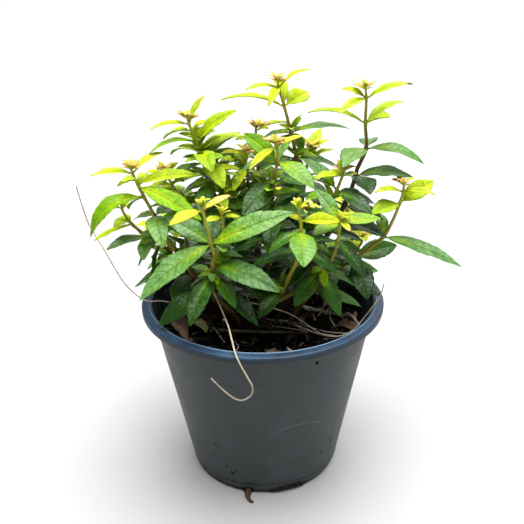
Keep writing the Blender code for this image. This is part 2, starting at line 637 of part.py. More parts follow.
def make_soil(material, stems, root_cutter):
    """Potting soil that fills the pot, with an uneven top and a plain hole for each stem."""
    side_profile = inner_profile(GAP, SOIL_TOP - 3.0)
    vertices, faces = turned([(0, FLOOR_THICK + GAP)] + side_profile, POT_SIDES)
    flat = soil_points(side_profile[-1][0])
    top_points, _, top_faces, _, _, _ = geometry.delaunay_2d_cdt(flat, [], [], 0, 1e-6, True)
    start = len(vertices) - POT_SIDES
    for point in top_points[POT_SIDES:]:
        vertices.append(Vector((point.x, point.y, soil_height(point.x, point.y))))
    faces.extend(tuple(start + corner for corner in face) for face in top_faces)
    soil = add_object("soil", vertices, faces, material, 40)
    cutters = [root_cutter]
    for courses in stems.values():
        foot = Vector(courses[0][0][0])
        head = foot + Vector((0, 0, 2.4 * STEM_DEPTH))
        hole = tube((foot - Vector((0, 0, GAP)), head), [BASE_STEM_RADIUS + 0.7] * 2, 6)
        cutters.append(add_object("stem_hole", *hole, material))
    for path, radius in STALKS.values():
        foot = Vector(path[0])
        lean = (Vector(path[1]) - foot).normalized()
        hole = tube((foot - lean * 2 * GAP, foot + lean * 24), [radius + 0.6] * 2, 6)
        cutters.append(add_object("stalk_hole", *hole, material))
    join_with(soil, cutters, "DIFFERENCE")
    return soil


def make_stem(name, courses, leaves, material):
    """One leafy stem: its shoots and all of their leaves, fused into one solid."""
    main = add_object(name, *tube(courses[0][0], stem_radii(courses[0][0]), STEM_SIDES), material)
    helpers = []
    for path, _, _ in courses[1:]:
        helpers.append(add_object("shoot", *tube(path, stem_radii(path), STEM_SIDES), material))
    for leaf in leaves:
        helpers.append(add_object("leaf", *blade(leaf), material))
    join_with(main, helpers, "UNION")
    return main


def settle(vertices, faces, ground):
    """Lowers a piece of litter onto the soil's highest points under it, and lifts it until it is clear."""
    down = Vector((0, 0, -1))
    drop = 1000.0
    for point in vertices:
        hit = ground.ray_cast(Vector((point.x, point.y, 400.0)), down)
        if hit[0] is not None:
            drop = min(drop, point.z - hit[0].z)
    raised = GAP - drop
    while True:
        moved = [point + Vector((0, 0, raised)) for point in vertices]
        if not BVHTree.FromPolygons(moved, faces).overlap(ground):
            return moved
        raised += 0.1


def make_twig(name, row, ground, material):
    """Short dead twig that lies on the soil."""
    route, radius = row
    points = [(x, y, soil_height(x, y) + radius) for x, y in route]
    radii = [radius * (1.0 - 0.35 * index / (len(route) - 1)) for index in range(len(route))]
    vertices, faces = tube(points, radii, STEM_SIDES)
    return add_object(name, settle(vertices, faces, ground), faces, material, 60)


def make_dead_leaf(name, row, ground, material):
    """Curled dead leaf that lies on the soil."""
    (x, y), azimuth, length, width = row
    leaf = {"node": name, "base": Vector((x, y, SOIL_TOP + 10)), "azimuth": azimuth, "rise": 0, "length": length,
            "width": width, "arch": 48, "roll": 8, "grip": 0.15 * length}
    vertices, faces = blade(leaf)
    return add_object(name, settle(vertices, faces, ground), faces, material)


def ground_of(soil):
    """The soil's search tree in millimetres."""
    points = [vertex.co / MM for vertex in soil.data.vertices]
    return BVHTree.FromPolygons(points, [tuple(face.vertices) for face in soil.data.polygons])


def clear_scene():
    """Removes the objects that the scene starts with."""
    for obj in list(bpy.data.objects):
        bpy.data.objects.remove(obj)


def main():
    """Builds the pot, the soil, the leafy stems, the dried stalks, the root and the litter."""
    clear_scene()
    pot_plastic = make_material("pot_plastic", (0.045, 0.06, 0.062), 0.45)
    soil_dark = make_material("soil_dark", (0.02, 0.014, 0.01), 0.95)
    leaf_green = make_material("leaf_green", (0.13, 0.32, 0.04), 0.5)
    dry_stalk = make_material("dry_stalk", (0.6, 0.5, 0.34), 0.7)
    dead_brown = make_material("dead_brown", (0.2, 0.1, 0.04), 0.8)
    make_pot(pot_plastic)
    root_start = Vector(ROOT_PATH[0]) * 2 - Vector(ROOT_PATH[0]).lerp(Vector(ROOT_PATH[1]), 0.3)
    root_room = tube([root_start, *ROOT_PATH[:4]], [radius + 0.5 for radius in ROOT_RADII[:5]], 8)
    root_cutter = add_object("root_hole", *root_room, soil_dark)
    soil = make_soil(soil_dark, STEMS, root_cutter)
    leaves = plan_leaves()
    for name, courses in STEMS.items():
        make_stem(name, courses, [leaf for leaf in leaves if leaf["node"] == name], leaf_green)
    for name, (path, radius) in STALKS.items():
        add_object(name, *tube(path, [radius] * len(path), STEM_SIDES), dry_stalk, 60)
    add_object("root", *tube(ROOT_PATH, ROOT_RADII, 6), dead_brown, 60)
    ground = ground_of(soil)
    for name, row in TWIGS.items():
        make_twig(name, row, ground, dry_stalk)
    for name, row in DEAD_LEAVES.items():
        make_dead_leaf(name, row, ground, dead_brown)


main()
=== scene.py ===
"""Looks of a potted lemon verbena, built around its packed solids.

The object is in metres and +Z is up. Tables and shape functions are in millimetres, and MM turns them into
metres. The leaves are planned by the same rules, table and seed as the solids, so each fine leaf lies where
its solid lies.
"""
import json
import math
import random

import bpy
from bpy.props import FloatProperty
from bpy.props import FloatVectorProperty
from bpy.props import IntProperty
from bpy.props import PointerProperty
from mathutils import Matrix
from mathutils import Vector
from mathutils import noise
from mathutils.bvhtree import BVHTree

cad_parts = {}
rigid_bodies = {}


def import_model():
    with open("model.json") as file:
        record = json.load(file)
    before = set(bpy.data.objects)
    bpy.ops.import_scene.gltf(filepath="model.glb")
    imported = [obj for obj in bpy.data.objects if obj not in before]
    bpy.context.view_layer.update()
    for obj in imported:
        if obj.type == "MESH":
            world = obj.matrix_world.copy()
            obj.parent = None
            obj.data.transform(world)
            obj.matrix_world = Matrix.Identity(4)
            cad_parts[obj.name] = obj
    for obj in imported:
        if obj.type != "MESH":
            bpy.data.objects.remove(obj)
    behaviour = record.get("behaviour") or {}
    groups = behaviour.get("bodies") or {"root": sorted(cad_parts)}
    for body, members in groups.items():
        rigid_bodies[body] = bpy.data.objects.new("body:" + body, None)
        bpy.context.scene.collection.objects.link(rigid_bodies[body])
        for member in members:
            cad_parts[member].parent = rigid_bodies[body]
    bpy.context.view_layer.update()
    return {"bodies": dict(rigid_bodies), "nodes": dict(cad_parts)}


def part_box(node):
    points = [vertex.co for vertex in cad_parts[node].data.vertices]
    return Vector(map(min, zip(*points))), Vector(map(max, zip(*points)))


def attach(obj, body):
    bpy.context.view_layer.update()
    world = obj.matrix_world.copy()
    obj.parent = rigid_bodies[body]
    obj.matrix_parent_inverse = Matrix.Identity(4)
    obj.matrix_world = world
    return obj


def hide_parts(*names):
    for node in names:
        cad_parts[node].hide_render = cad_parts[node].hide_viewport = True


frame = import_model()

bl_info = {
    "name": "Potted Lemon Verbena",
    "version": (1, 0, 0),
    "blender": (4, 5, 0),
    "location": "3D View > Sidebar > Verbena",
    "description": "Builds the finished looks of a potted lemon verbena around its solids",
    "category": "Object",
}

MM = 0.001
GAP = 0.3
SEED = 41

# Pot, in millimetres
RIM_RADIUS = 95.0
RIM_TOP = 146.0
RIM_BAND = 8.2
RIM_THICK = 1.9
RIM_CROWN = 0.45
RIM_ROUND = 1.5
RIM_BEAD = 0.75
RIM_BEAD_SHARE = 0.74
SKIRT_HEIGHT = 5.4
SKIRT_THICK = 1.4
MOUTH_RADIUS = RIM_RADIUS - RIM_BAND
MOUTH_ROUND = 0.8
BODY_TOP_RADIUS = 88.0
BASE_RADIUS = 61.4
CORNER = 9.0
WALL = 1.4
FLOOR_THICK = 1.8
SHOULDER_Z = 133.0
SHOULDER_STEP = 1.1
INSIDE_STEPS = (138.5, 142.0)
GROOVE_Z = 9.6
RING_Z = 110.0
WALL_STEP = 9
LATHE_SIDES = 192
POT_SHARP = 32

# Drain notches: how many, the first one's turn in degrees, and their measures
NOTCHES = 12
NOTCH_FIRST = -104.0
NOTCH_WIDTH = 14.0
NOTCH_HEIGHT = 4.5
NOTCH_ROUND = 1.8
NOTCH_REACH = (49.0, 68.0)

# Lowest height of leaves over the pot, and how far they keep from its rim: above it, inside it, beside it
LEAF_FLOOR = 129.0
OVER_RIM = 1.5
INSIDE_RIM = 5.0
BESIDE_RIM = 2.0

# Soil, in millimetres: its top, its broad and fine bumps, its mesh, its crumbs and fibres
SOIL_TOP = 120.5
SOIL_BUMP = 2.4
SOIL_BUMP_SIZE = 17.0
FINE_BUMP = 0.8
FINE_BUMP_SIZE = 7.0
SOIL_SIDES = 132
SOIL_RINGS = 46
CRUMB_SHARP = 30
FIBRE_BEND = 0.35

# Stems and leaves of the solids, in millimetres, their fold and lean in degrees
STEM_SIDES = 4
FINE_SIDES = 10
TIP_RADIUS = 1.1
BASE_STEM_RADIUS = 2.3
SHOOT_GROWTH = 0.011
RIB_THICK = 1.1
PETIOLE_WIDTH = 1.7
STALK_SHARE = 0.27
ROOT_SINK = 0.15
GRIP = 1.3
FACE_LEAN = 14.0
LARGE_BLADE = 43.0
MEDIUM_BLADE = 26.0
SMALL_BLADE = 14.0
FOLD = 14.0
SIDE_MARGIN = 0.7
TOOTH_DEPTH = 0.16

# Each leafy stem: its courses from root to tip, then whorls by height, lowest leaves last.
# A leaf is its azimuth, rise, length, width, arch and, where it leans to one side, roll; angles in degrees.
# The number after a course says how many whorls a rule grows below those given, or in place of none.
STEMS = {
    "stem_tall_center": (
        (((4, 15, 108), (4, 15, 126), (16, 15, 170), (29, 18, 228), (27, 16, 254), (23, 14, 274),
          (18, 12, 294), (14, 10, 308), (13, 10, 313)), 1, (
            (308, ((200, 0, 26, 5, 45), (15, 25, 27, 5, 50), (250, -20, 25, 6, 60))),
            (294, ((175, 5, 48, 8, 45), (50, 10, 30, 14, 35, 30), (100, 15, 34, 9, 70))),
            (274, ((10, 0, 45, 9, 45), (150, -15, 24, 8, 30), (245, -30, 31, 11, 40), (70, -40, 36, 10, 40))),
            (254, ((20, -20, 40, 11, 35), (200, -10, 29, 12, 40), (90, -45, 40, 12, 40))))),
        (((23, 16, 195), (32, 27, 214), (35, 32, 231), (37, 34, 247), (39, 35, 257)), 0, (
            (253, ((20, 25, 19, 6, 40), (225, 10, 17, 10, 30))),
            (245, ((5, 25, 23, 8, 40), (65, 35, 35, 9, 40), (110, -10, 30, 10, 40))),
            (231, ((140, -15, 34, 12, 40), (50, -25, 36, 12, 40)))))),
    "stem_tall_right": (
        (((18, 12, 108), (18, 12, 126), (40, 13, 170), (64, 12, 217), (71, 12, 237), (73, 12, 246),
          (79, 13, 261), (78, 14, 279), (78, 15, 298), (77, 15, 306)), 1, (
            (298, ((155, 15, 21, 6, 50), (5, 15, 36, 8, 45), (225, -10, 32, 7, 40))),
            (280, ((175, 10, 44, 9, 50), (310, 20, 25, 15, 25), (35, 15, 41, 9, 40))),
            (261, ((355, -15, 45, 12, 60), (235, -10, 35, 18, 45), (75, 0, 29, 14, 40))),
            (240, ((350, 0, 44, 14, 55), (285, -10, 30, 18, 50), (155, -15, 32, 12, 40))),
            (217, ((325, -10, 34, 14, 40), (230, 15, 33, 13, 40), (70, -20, 38, 13, 40))))),),
    "stem_left_high": (
        (((-14, 12, 108), (-14, 12, 126), (-20, 6, 160), (-28, 0, 194), (-37, 0, 243), (-41, 0, 254),
          (-45, 0, 266), (-46, 0, 272), (-50, 0, 282), (-52, 0, 289)), 1, (
            (285, ((25, 55, 24, 7, 25), (190, -5, 28, 6, 40))),
            (280, ((150, -20, 28, 8, 50), (55, 0, 31, 7, 40))),
            (272, ((195, -10, 36, 8, 55), (10, 35, 37, 11, 40, 30), (60, 5, 26, 8, 30))),
            (264, ((5, 35, 20, 9, 20), (290, -10, 33, 14, 50), (130, -15, 40, 10, 50))),
            (256, ((200, -20, 33, 10, 40), (35, 5, 33, 12, 40), (300, -20, 33, 14, 40))),
            (241, ((145, -25, 31, 11, 40), (20, -20, 32, 13, 40), (255, -30, 31, 12, 40))))),
        (((-26, 1, 184), (-27, 9, 205), (-30, 14, 226), (-32, 15, 242), (-33, 15, 256)), 0, (
            (253, ((40, 20, 17, 6, 40), (225, -10, 14, 6, 30))),
            (242, ((330, 20, 21, 9, 40), (140, -20, 21, 9, 30), (265, -20, 25, 10, 40))),
            (226, ((100, -10, 34, 11, 40), (180, -15, 32, 11, 40)))))),
    "stem_left_low": (
        (((-30, 6, 108), (-30, 6, 126), (-42, -3, 150), (-55, -12, 175), (-72, -16, 206), (-78, -18, 222),
          (-85, -20, 239), (-90, -20, 252), (-92, -20, 259)), 0, (
            (255, ((190, 0, 30, 7, 35), (35, 30, 28, 8, 40))),
            (245, ((245, 25, 22, 6, 80), (80, 0, 28, 9, 40), (335, -20, 54, 14, 35, 28))),
            (237, ((205, -30, 48, 14, 100, -20), (135, -35, 25, 9, 40))),
            (222, ((285, -20, 37, 16, 70), (150, -20, 24, 9, 40), (65, -10, 29, 10, 40))),
            (206, ((170, -50, 34, 13, 30), (140, -60, 40, 13, 30), (65, -30, 30, 12, 30))))),
        (((-54, -11, 173), (-58, 0, 200), (-58, 6, 221), (-67, 8, 237), (-72, 10, 248)), 0, (
            (245, ((50, 25, 14, 5, 30), (210, 5, 17, 6, 30))),
            (237, ((300, 20, 25, 8, 40), (160, -10, 19, 6, 30), (255, -15, 21, 9, 40))),
            (221, ((80, -10, 32, 10, 40), (190, -20, 30, 10, 40)))))),
    "stem_left_lowest": (
        (((-42, 14, 108), (-42, 14, 126), (-56, 6, 160), (-73, -4, 190), (-84, -8, 200), (-96, -10, 212),
          (-102, -10, 222), (-103, -10, 227)), 1, (
            (225, ((210, 15, 12, 5, 40), (65, 10, 9, 4, 30))),
            (213, ((195, -20, 31, 7, 10), (235, 10, 19, 9, 60), (130, 0, 18, 8, 40))),
            (201, ((210, -5, 34, 11, 40), (110, -10, 24, 9, 30), (280, -30, 24, 11, 40))),
            (182, ((200, -25, 36, 11, 40), (130, -20, 34, 11, 40))))),),
    "stem_front_left": (
        (((-20, -4, 108), (-20, -4, 126), (-28, -26, 150), (-36, -45, 174), (-35, -52, 195),
          (-33, -56, 206), (-35, -58, 216), (-37, -60, 230), (-39, -60, 240), (-39, -60, 244)), 1, (
            (241, ((35, 15, 23, 6, 30), (205, -15, 26, 9, 30, -20), (160, 50, 9, 3, 30))),
            (215, ((150, 20, 39, 15, 25, -35), (5, 20, 61, 18, 25, 38), (205, -30, 62, 19, 30, -22))),
            (198, ((330, -10, 55, 17, 35, 30), (35, -10, 39, 12, 30))),
            (189, ((245, -35, 43, 15, 40), (310, -35, 31, 12, 30), (140, -40, 33, 12, 30))))),
        (((-34, -54, 199), (-29, -46, 208), (-27, -38, 219), (-28, -36, 229)), 0, (
            (227, ((215, 0, 14, 7, 20), (345, 5, 14, 6, 20), (90, 60, 8, 4, 10))),
            (214, ((275, -5, 24, 12, 30), (40, -10, 24, 9, 30)))))),
    "stem_center": (
        (((0, 4, 108), (0, 4, 126), (3, -12, 165), (6, -22, 207), (8, -21, 230), (9, -20, 247),
          (12, -20, 262), (12, -20, 272), (11, -20, 275)), 0, (
            (273, ((30, 10, 24, 7, 35), (220, -25, 28, 9, 40))),
            (262, ((145, 30, 33, 13, 30, -30), (315, -20, 37, 15, 45, 15), (205, -5, 28, 10, 40, -20))),
            (247, ((230, -25, 38, 17, 30, -25), (10, -10, 32, 12, 40, 20), (115, 0, 26, 10, 40))),
            (226, ((320, 5, 32, 13, 30), (160, 0, 28, 11, 30), (265, -30, 35, 14, 40))),
            (205, ((220, -20, 38, 14, 40), (30, -15, 34, 13, 40), (300, -30, 36, 14, 40))))),
        (((3, -13, 167), (-4, -2, 195), (-8, 8, 224), (-10, 9, 243), (-11, 10, 261)), 0, (
            (258, ((205, 5, 21, 7, 40), (35, 10, 21, 6, 40))),
            (249, ((245, -20, 26, 9, 40), (310, 20, 22, 8, 30), (110, 15, 27, 9, 30))),
            (232, ((165, -25, 25, 10, 30), (340, -15, 22, 10, 30), (270, -25, 26, 11, 40)))))),
    "stem_right": (
        (((22, -4, 108), (22, -4, 126), (38, 0, 147), (56, 4, 164), (70, 2, 175), (83, 0, 186),
          (93, -2, 196), (99, -2, 208), (104, -2, 223), (106, -2, 233), (106, -2, 238)), 0, (
            (232, ((200, 5, 24, 8, 35), (345, -5, 25, 5, 60))),
            (223, ((30, 20, 34, 14, 30, 38), (215, -5, 29, 14, 30, -15))),
            (196, ((350, -20, 64, 13, 20, 25), (100, 40, 21, 9, 60))),
            (177, ((25, 5, 39, 16, 20, 38), (285, -40, 36, 18, 25, 0))),
            (164, ((330, -30, 44, 13, 20), (70, 15, 34, 12, 30))))),),
    "stem_right_center": (
        (((12, 4, 108), (12, 4, 126), (28, -4, 165), (42, -10, 201), (52, -8, 227), (56, -6, 235),
          (60, -5, 246), (60, -5, 250)), 1, (
            (246, ((200, 0, 23, 9, 40), (320, 15, 13, 6, 30), (125, 5, 14, 6, 30))),
            (235, ((150, 35, 36, 12, 45, -20), (320, -20, 33, 13, 25, 15), (20, -25, 36, 14, 25, 25))),
            (227, ((195, 15, 28, 11, 30), (60, -20, 29, 12, 30), (275, -30, 31, 13, 30))),
            (205, ((10, -20, 36, 13, 40), (130, -10, 34, 12, 40), (250, -20, 34, 13, 40))))),),
    "stem_front_center": (
        (((-6, -8, 108), (-6, -8, 126), (8, -34, 155), (20, -50, 188), (27, -56, 209), (27, -60, 225),
          (26, -60, 236), (25, -60, 241)), 0, (
            (232, ((10, -5, 28, 10, 20, 32), (130, 0, 14, 6, 20))),
            (225, ((270, -20, 36, 19, 25), (205, -25, 27, 12, 30))),
            (209, ((190, -15, 36, 13, 30), (345, -30, 30, 12, 30))),
            (172, ((20, 45, 32, 15, 15, 25), (230, -25, 30, 13, 30), (130, -10, 34, 13, 30))))),
        (((9, -36, 158), (32, -38, 174), (49, -36, 190), (54, -40, 209), (55, -45, 227)), 0, (
            (227, ((40, 40, 8, 4, 10), (295, -15, 14, 5, 20))),
            (225, ((215, -10, 25, 11, 30, -20), (10, 0, 30, 10, 15, 30), (135, 40, 29, 10, 20, -25))),
            (209, ((315, -40, 34, 13, 20), (195, 0, 27, 12, 30), (60, -20, 29, 11, 30))),
            (184, ((218, -40, 33, 14, 30), (310, -55, 36, 13, 25), (25, -32, 35, 13, 25)))))),
    "stem_back_center": (
        (((-6, 25, 108), (-6, 25, 126), (-4, 25, 180), (-2, 25, 250), (-3, 25, 266), (-3, 25, 276)), 1, (
            (273, ((10, 10, 27, 6, 40), (305, 15, 17, 5, 30))),
            (266, ((200, 5, 17, 6, 30), (60, -10, 19, 7, 40))),
            (250, ((170, 15, 24, 9, 30), (335, -5, 26, 11, 40), (80, -10, 30, 10, 40))),
            (232, ((110, -15, 36, 12, 40), (20, -20, 34, 12, 40), (215, -20, 30, 11, 40))))),
        (((-5, 25, 148), (-1, 48, 168), (0, 72, 184), (0, 84, 197)), 3, ())),
    "stem_back_left": (
        (((-22, 25, 108), (-22, 25, 126), (-32, 38, 150), (-48, 56, 174), (-58, 67, 188),
          (-60, 70, 196)), 3, ()),
        (((-31, 37, 148), (-30, 64, 160), (-30, 90, 172), (-30, 100, 180)), 3, ())),
    "stem_back_right": (
        (((12, 27, 108), (12, 27, 126), (32, 40, 150), (56, 58, 172), (71, 71, 184), (74, 74, 192)), 3, ()),
        (((30, 39, 148), (37, 64, 162), (40, 86, 174), (40, 94, 184)), 2, ())),
    "stem_left_back": (
        (((-36, 24, 108), (-36, 24, 126), (-52, 33, 150), (-72, 42, 172), (-80, 45, 180),
          (-83, 46, 188)), 3, ()),),
    "stem_right_back": (
        (((28, 20, 108), (28, 20, 126), (48, 30, 144), (70, 41, 158), (82, 47, 168), (85, 48, 176)), 3, ()),),
}

# Long dried stalks: points and radius, in millimetres
STALKS = {
    "stalk_left": (((-50, 2, 110), (-52, 0, 128), (-64, -9, 143), (-78, -12, 149.0), (-92, -10, 149.2),
                    (-107, -6, 162), (-121, -2, 189), (-128, 0, 202), (-132, 0, 213), (-136, 0, 233),
                    (-137, 0, 240)), 0.5),
    "stalk_front": (((-28, -30, 110), (-29, -34, 130), (-29, -50, 152), (-25, -68, 158), (-22, -82, 155),
                     (-19, -93, 148.6), (-15, -99, 142), (-11, -100, 134), (-8, -99, 126), (-9, -97, 118),
                     (-15, -95, 112.5), (-21, -96, 115), (-28, -98, 123), (-36, -100, 134)), 0.6),
    "stalk_right": (((-8, -24, 110), (-4, -27, 130), (13, -36, 142), (28, -41, 140), (43, -42, 134),
                     (57, -38, 130), (69, -30, 131), (79, -24, 140), (86, -21, 148.4), (90, -19, 154),
                     (93, -16, 163)), 0.5),
}
STALK_SIDES = 8
PALE_TWIGS = ("twig_pale_right", "twig_thin")

# Root out of a drain notch, its radius at either end, and litter on the soil, in millimetres
ROOT_PATH = ((-11.6, -48.5, 7.0), (-12.6, -52.5, 3.4), (-13.4, -57.0, 2.2), (-14.4, -62.0, 2.1),
             (-13.8, -66.5, 1.9), (-11.8, -70.0, 1.5), (-9.6, -70.8, 1.2))
ROOT_RADII = (1.9, 0.5)
ROOT_SIDES = 12
TWIG_SIDES = 9
TWIGS = {
    "twig_long": (((-36, -12), (-12, -16), (12, -15), (34, -19)), 1.2),
    "twig_thin": (((18, -40), (24, -50), (30, -62)), 0.7),
    "twig_pale_right": (((50, 18), (60, 15), (71, 8)), 1.0),
    "twig_left": (((-50, 30), (-59, 22), (-68, 18)), 0.9),
}
DEAD_LEAVES = {
    "dead_leaf_brown": ((-72, 5), 295, 33, 12),
    "dead_leaf_yellow": ((-57, 3), 307, 21, 8),
    "dead_leaf_front": ((-6, -62), 20, 26, 10),
    "dead_leaf_right": ((56, -6), 330, 24, 9),
}

# Fine leaves: least length, teeth a side, rows for each, depth of their notches, columns from rib to edge
BLADE_GRIDS = (
    (LARGE_BLADE, 9, 4, 0.075, (0.0, 0.1, 0.35, 0.62, 0.86, 1.0)),
    (MEDIUM_BLADE, 7, 4, 0.06, (0.0, 0.13, 0.45, 0.8, 1.0)),
    (SMALL_BLADE, 5, 3, 0.02, (0.0, 0.3, 0.7, 1.0)),
    (0.0, 3, 3, 0.0, (0.0, 0.55, 1.0)),
)
WHORL_AGES = (0.05, 0.2, 0.65, 0.85, 1.0)
# Stems whose leaves are younger or older than their places tell
AGE_SHIFTS = {"stem_left_high": -0.2, "stem_left_low": -0.12, "stem_tall_right": -0.08,
              "stem_tall_center": -0.1}
# Ages of the leaves that show most, by length and width
LEAF_AGES = {
    "stem_center": {(33, 13): 0.4, (37, 15): 0.52, (38, 17): 0.85, (32, 12): 0.8, (32, 13): 0.75,
                    (28, 10): 0.8},
    "stem_tall_center": {(36, 12): 0.32, (34, 12): 0.9},
    "stem_right_center": {(36, 12): 0.6, (33, 13): 0.88, (36, 14): 0.88, (28, 11): 0.8, (31, 13): 0.9},
    "stem_front_center": {(36, 19): 0.5, (36, 13): 0.95, (30, 12): 0.95, (25, 11): 0.47, (30, 10): 0.46,
                          (29, 10): 0.62, (34, 13): 0.9, (27, 12): 0.92, (29, 11): 0.92},
    "stem_right": {(29, 14): 0.27, (39, 16): 0.85},
    "stem_left_low": {(54, 14): 0.42},
    "stem_left_high": {(40, 10): 0.28, (33, 14): 0.32, (20, 9): 0.26, (33, 12): 0.42},
    "stem_front_left": {(23, 6): 0.01, (26, 9): 0.04, (39, 15): 0.72, (61, 18): 0.62, (62, 19): 0.66,
                        (55, 17): 0.78, (39, 12): 0.85, (43, 15): 0.85, (31, 12): 0.82, (33, 12): 0.9,
                        (24, 12): 0.5, (24, 10): 0.6},
}
# Leaves that close gaps in the crown, by the tip of their course: height and age, then as in the stems' table
GAP_LEAVES = {
    (-52, 0, 289): ((266, 0.3, 25, 20, 40, 11, 40), (259, 0.4, 45, 10, 42, 13, 35)),
    (-33, 15, 256): ((248, 0.4, 20, 10, 30, 11, 30),),
    (-92, -20, 259): ((247, 0.4, 15, 5, 44, 12, 30), (250, 0.2, 175, -20, 15, 6, 40)),
    (-72, 10, 248): ((237, 0.5, 30, 5, 34, 12, 35),),
}

# Shape of a fine leaf: where it is widest, its stalk in millimetres, its waves, quilting, blade and rib
LANCE_PEAK = 0.46
LANCE_POWER = 0.88
STALK_LENGTH = 3.2
PETIOLE_HALF = 0.8
TOOTHLESS = 0.33
WAVE = 0.06
QUILT = 0.065
LAMINA = 0.34
RIB_HALF = 1.1
RIB_DEPTH = 0.6

# Filling leaves: the step of their whorls, their lowest and highest height, the height above which they are
# bright, and the crown's heart and reach
FILL_STEP = 12.0
FILL_FLOOR = 158.0
FILL_TOP = 250.0
FILL_BRIGHT = 245.0
CROWN_HEART = (-8.0, 3.0)
CROWN_REACH = 57.0

# Tips, stems and ages: the courses with small buds, the stems that stay green for long, how far below its tip
# a stem is old, and the one leaf with a dried tip, by its stem, length and width
GOLDEN_ANGLE = 137.5
CLUSTER_LEAVES = 17
FEW_LEAVES = 5
SMALL_BUDS = (("stem_front_center", 0), ("stem_front_center", 1), ("stem_front_left", 0),
              ("stem_front_left", 1), ("stem_left_lowest", 0))
SLIM = 0.86
STEM_AGEING = 90.0
GREEN_STEMS = ("stem_front_left", "stem_right", "stem_front_center", "stem_left_low")
GREEN_AGEING = 190.0
YOUNG_AGE = 0.12
SOFT_AGE = 0.45
DEAD_AGE = 0.8
SCORCHED = ("stem_tall_right", 36.0, 8.0)

# Places of a shoot's finishes in its list
GROWN_FINISH = 0
STEM_FINISH = 1
YOUNG_FINISH = 2

# Turns, lifts and scales tried on a leaf, what a scale counts against a degree, and how steep a leaf gets
TURNS = (0, 7, -7, 14, -14, 22, -22, 32, -32, 45, -45)
LIFTS = (0, 7, -7, 14, -14, 24, -24, 36)
SCALES = (1.0, 0.85, 0.7)
SCALE_COST = 300
RISE_LIMITS = (-75, 80)
GENTLE_LIFT = 10
FEW_TRIES = 70

# Leaves that a rule grows: their lengths whorl by whorl down a stem, the steps between these whorls, how far
# the first whorl lies below the table's last one or below the tip, and how far the lowest keeps from the soil
GROWN_LENGTHS = (22, 33, 41, 44, 42, 40, 38)
GROWN_STEPS = (9, 13, 15, 15, 14, 14, 14)
BELOW_TABLE = 17
BELOW_TIP = 3
OVER_SOIL = 13

# Corners and faces of a twenty-faced lump, and how uneven it is
LUMP_ROUGH = 0.22
GOLD = (1.0 + math.sqrt(5.0)) / 2.0
LUMP_CORNERS = [[value / math.hypot(1.0, GOLD) for value in corner] for corner in (
    (-1, GOLD, 0), (1, GOLD, 0), (-1, -GOLD, 0), (1, -GOLD, 0), (0, -1, GOLD), (0, 1, GOLD),
    (0, -1, -GOLD), (0, 1, -GOLD), (GOLD, 0, -1), (GOLD, 0, 1), (-GOLD, 0, -1), (-GOLD, 0, 1))]
LUMP_FACES = ((0, 11, 5), (0, 5, 1), (0, 1, 7), (0, 7, 10), (0, 10, 11), (1, 5, 9), (5, 11, 4), (11, 10, 2),
              (10, 7, 6), (7, 1, 8), (3, 9, 4), (3, 4, 2), (3, 2, 6), (3, 6, 8), (3, 8, 9), (4, 9, 5),
              (2, 4, 11), (6, 2, 10), (8, 6, 7), (9, 8, 1))

# Marks on the pot's wall: turn in degrees, then height, reach, sag and width in millimetres, and strength
WALL_MARKS = (
    (-91.0, RING_Z, 62.0, 0.4, 0.8, 0.12),
    (-40.0, RING_Z - 1.0, 14.0, 1.5, 0.8, 0.2),
    (-69.0, 72.8, 23.0, 8.0, 0.7, 0.5),
)
# Specks of dirt on the wall: angle, height, width and length
WALL_SPECKS = (
    (-123.7, 46.0, 1.6, 1.4), (-128.5, 33.0, 1.3, 1.2), (-117.8, 25.6, 1.0, 1.8), (-114.5, 19.0, 1.5, 3.0),
    (-111.1, 22.5, 0.9, 2.0), (-47.3, 30.7, 0.9, 1.6), (-37.4, 36.4, 1.2, 2.2), (-64.9, 56.3, 0.9, 0.9),
    (-63.5, 130.0, 1.8, 2.4),
)
# Crumbs on the root and at the pot's foot, and between which turns in degrees those at the foot lie
ROOT_SOIL = 60
FOOT_SOIL = 380
NOTCH_SOIL = (-86.0, -57.0)
# Share of each dry stalk, from its foot, that is dark: soil on it and painted shade
STALK_FEET = {"stalk_left": 0.14, "stalk_front": 0.31, "stalk_right": 0.4}
# Branches of the dry stalks: courses of the same thickness, from or to the stalk that bears them
STALK_BRANCHES = {
    "stalk_front": (((-25, -67.5, 157.8), (-28, -59, 161.5), (-32, -51, 167.5), (-35.2, -45.5, 172.8)),),
    "stalk_right": (((-31, -34, 160), (-20.5, -34.5, 160.3), (-2, -38, 157.8), (20, -42, 151.8),
                     (36, -42.6, 140.2), (44, -41.8, 133.8)),),
}
# Places of bits of dead leaves, and how many more lie at random
LEAF_BITS = ((57, 31), (43, 14), (72, 4), (-46, 12), (-39, 8), (-50, 16), (68, -12), (30, -8))
MORE_BITS = 16
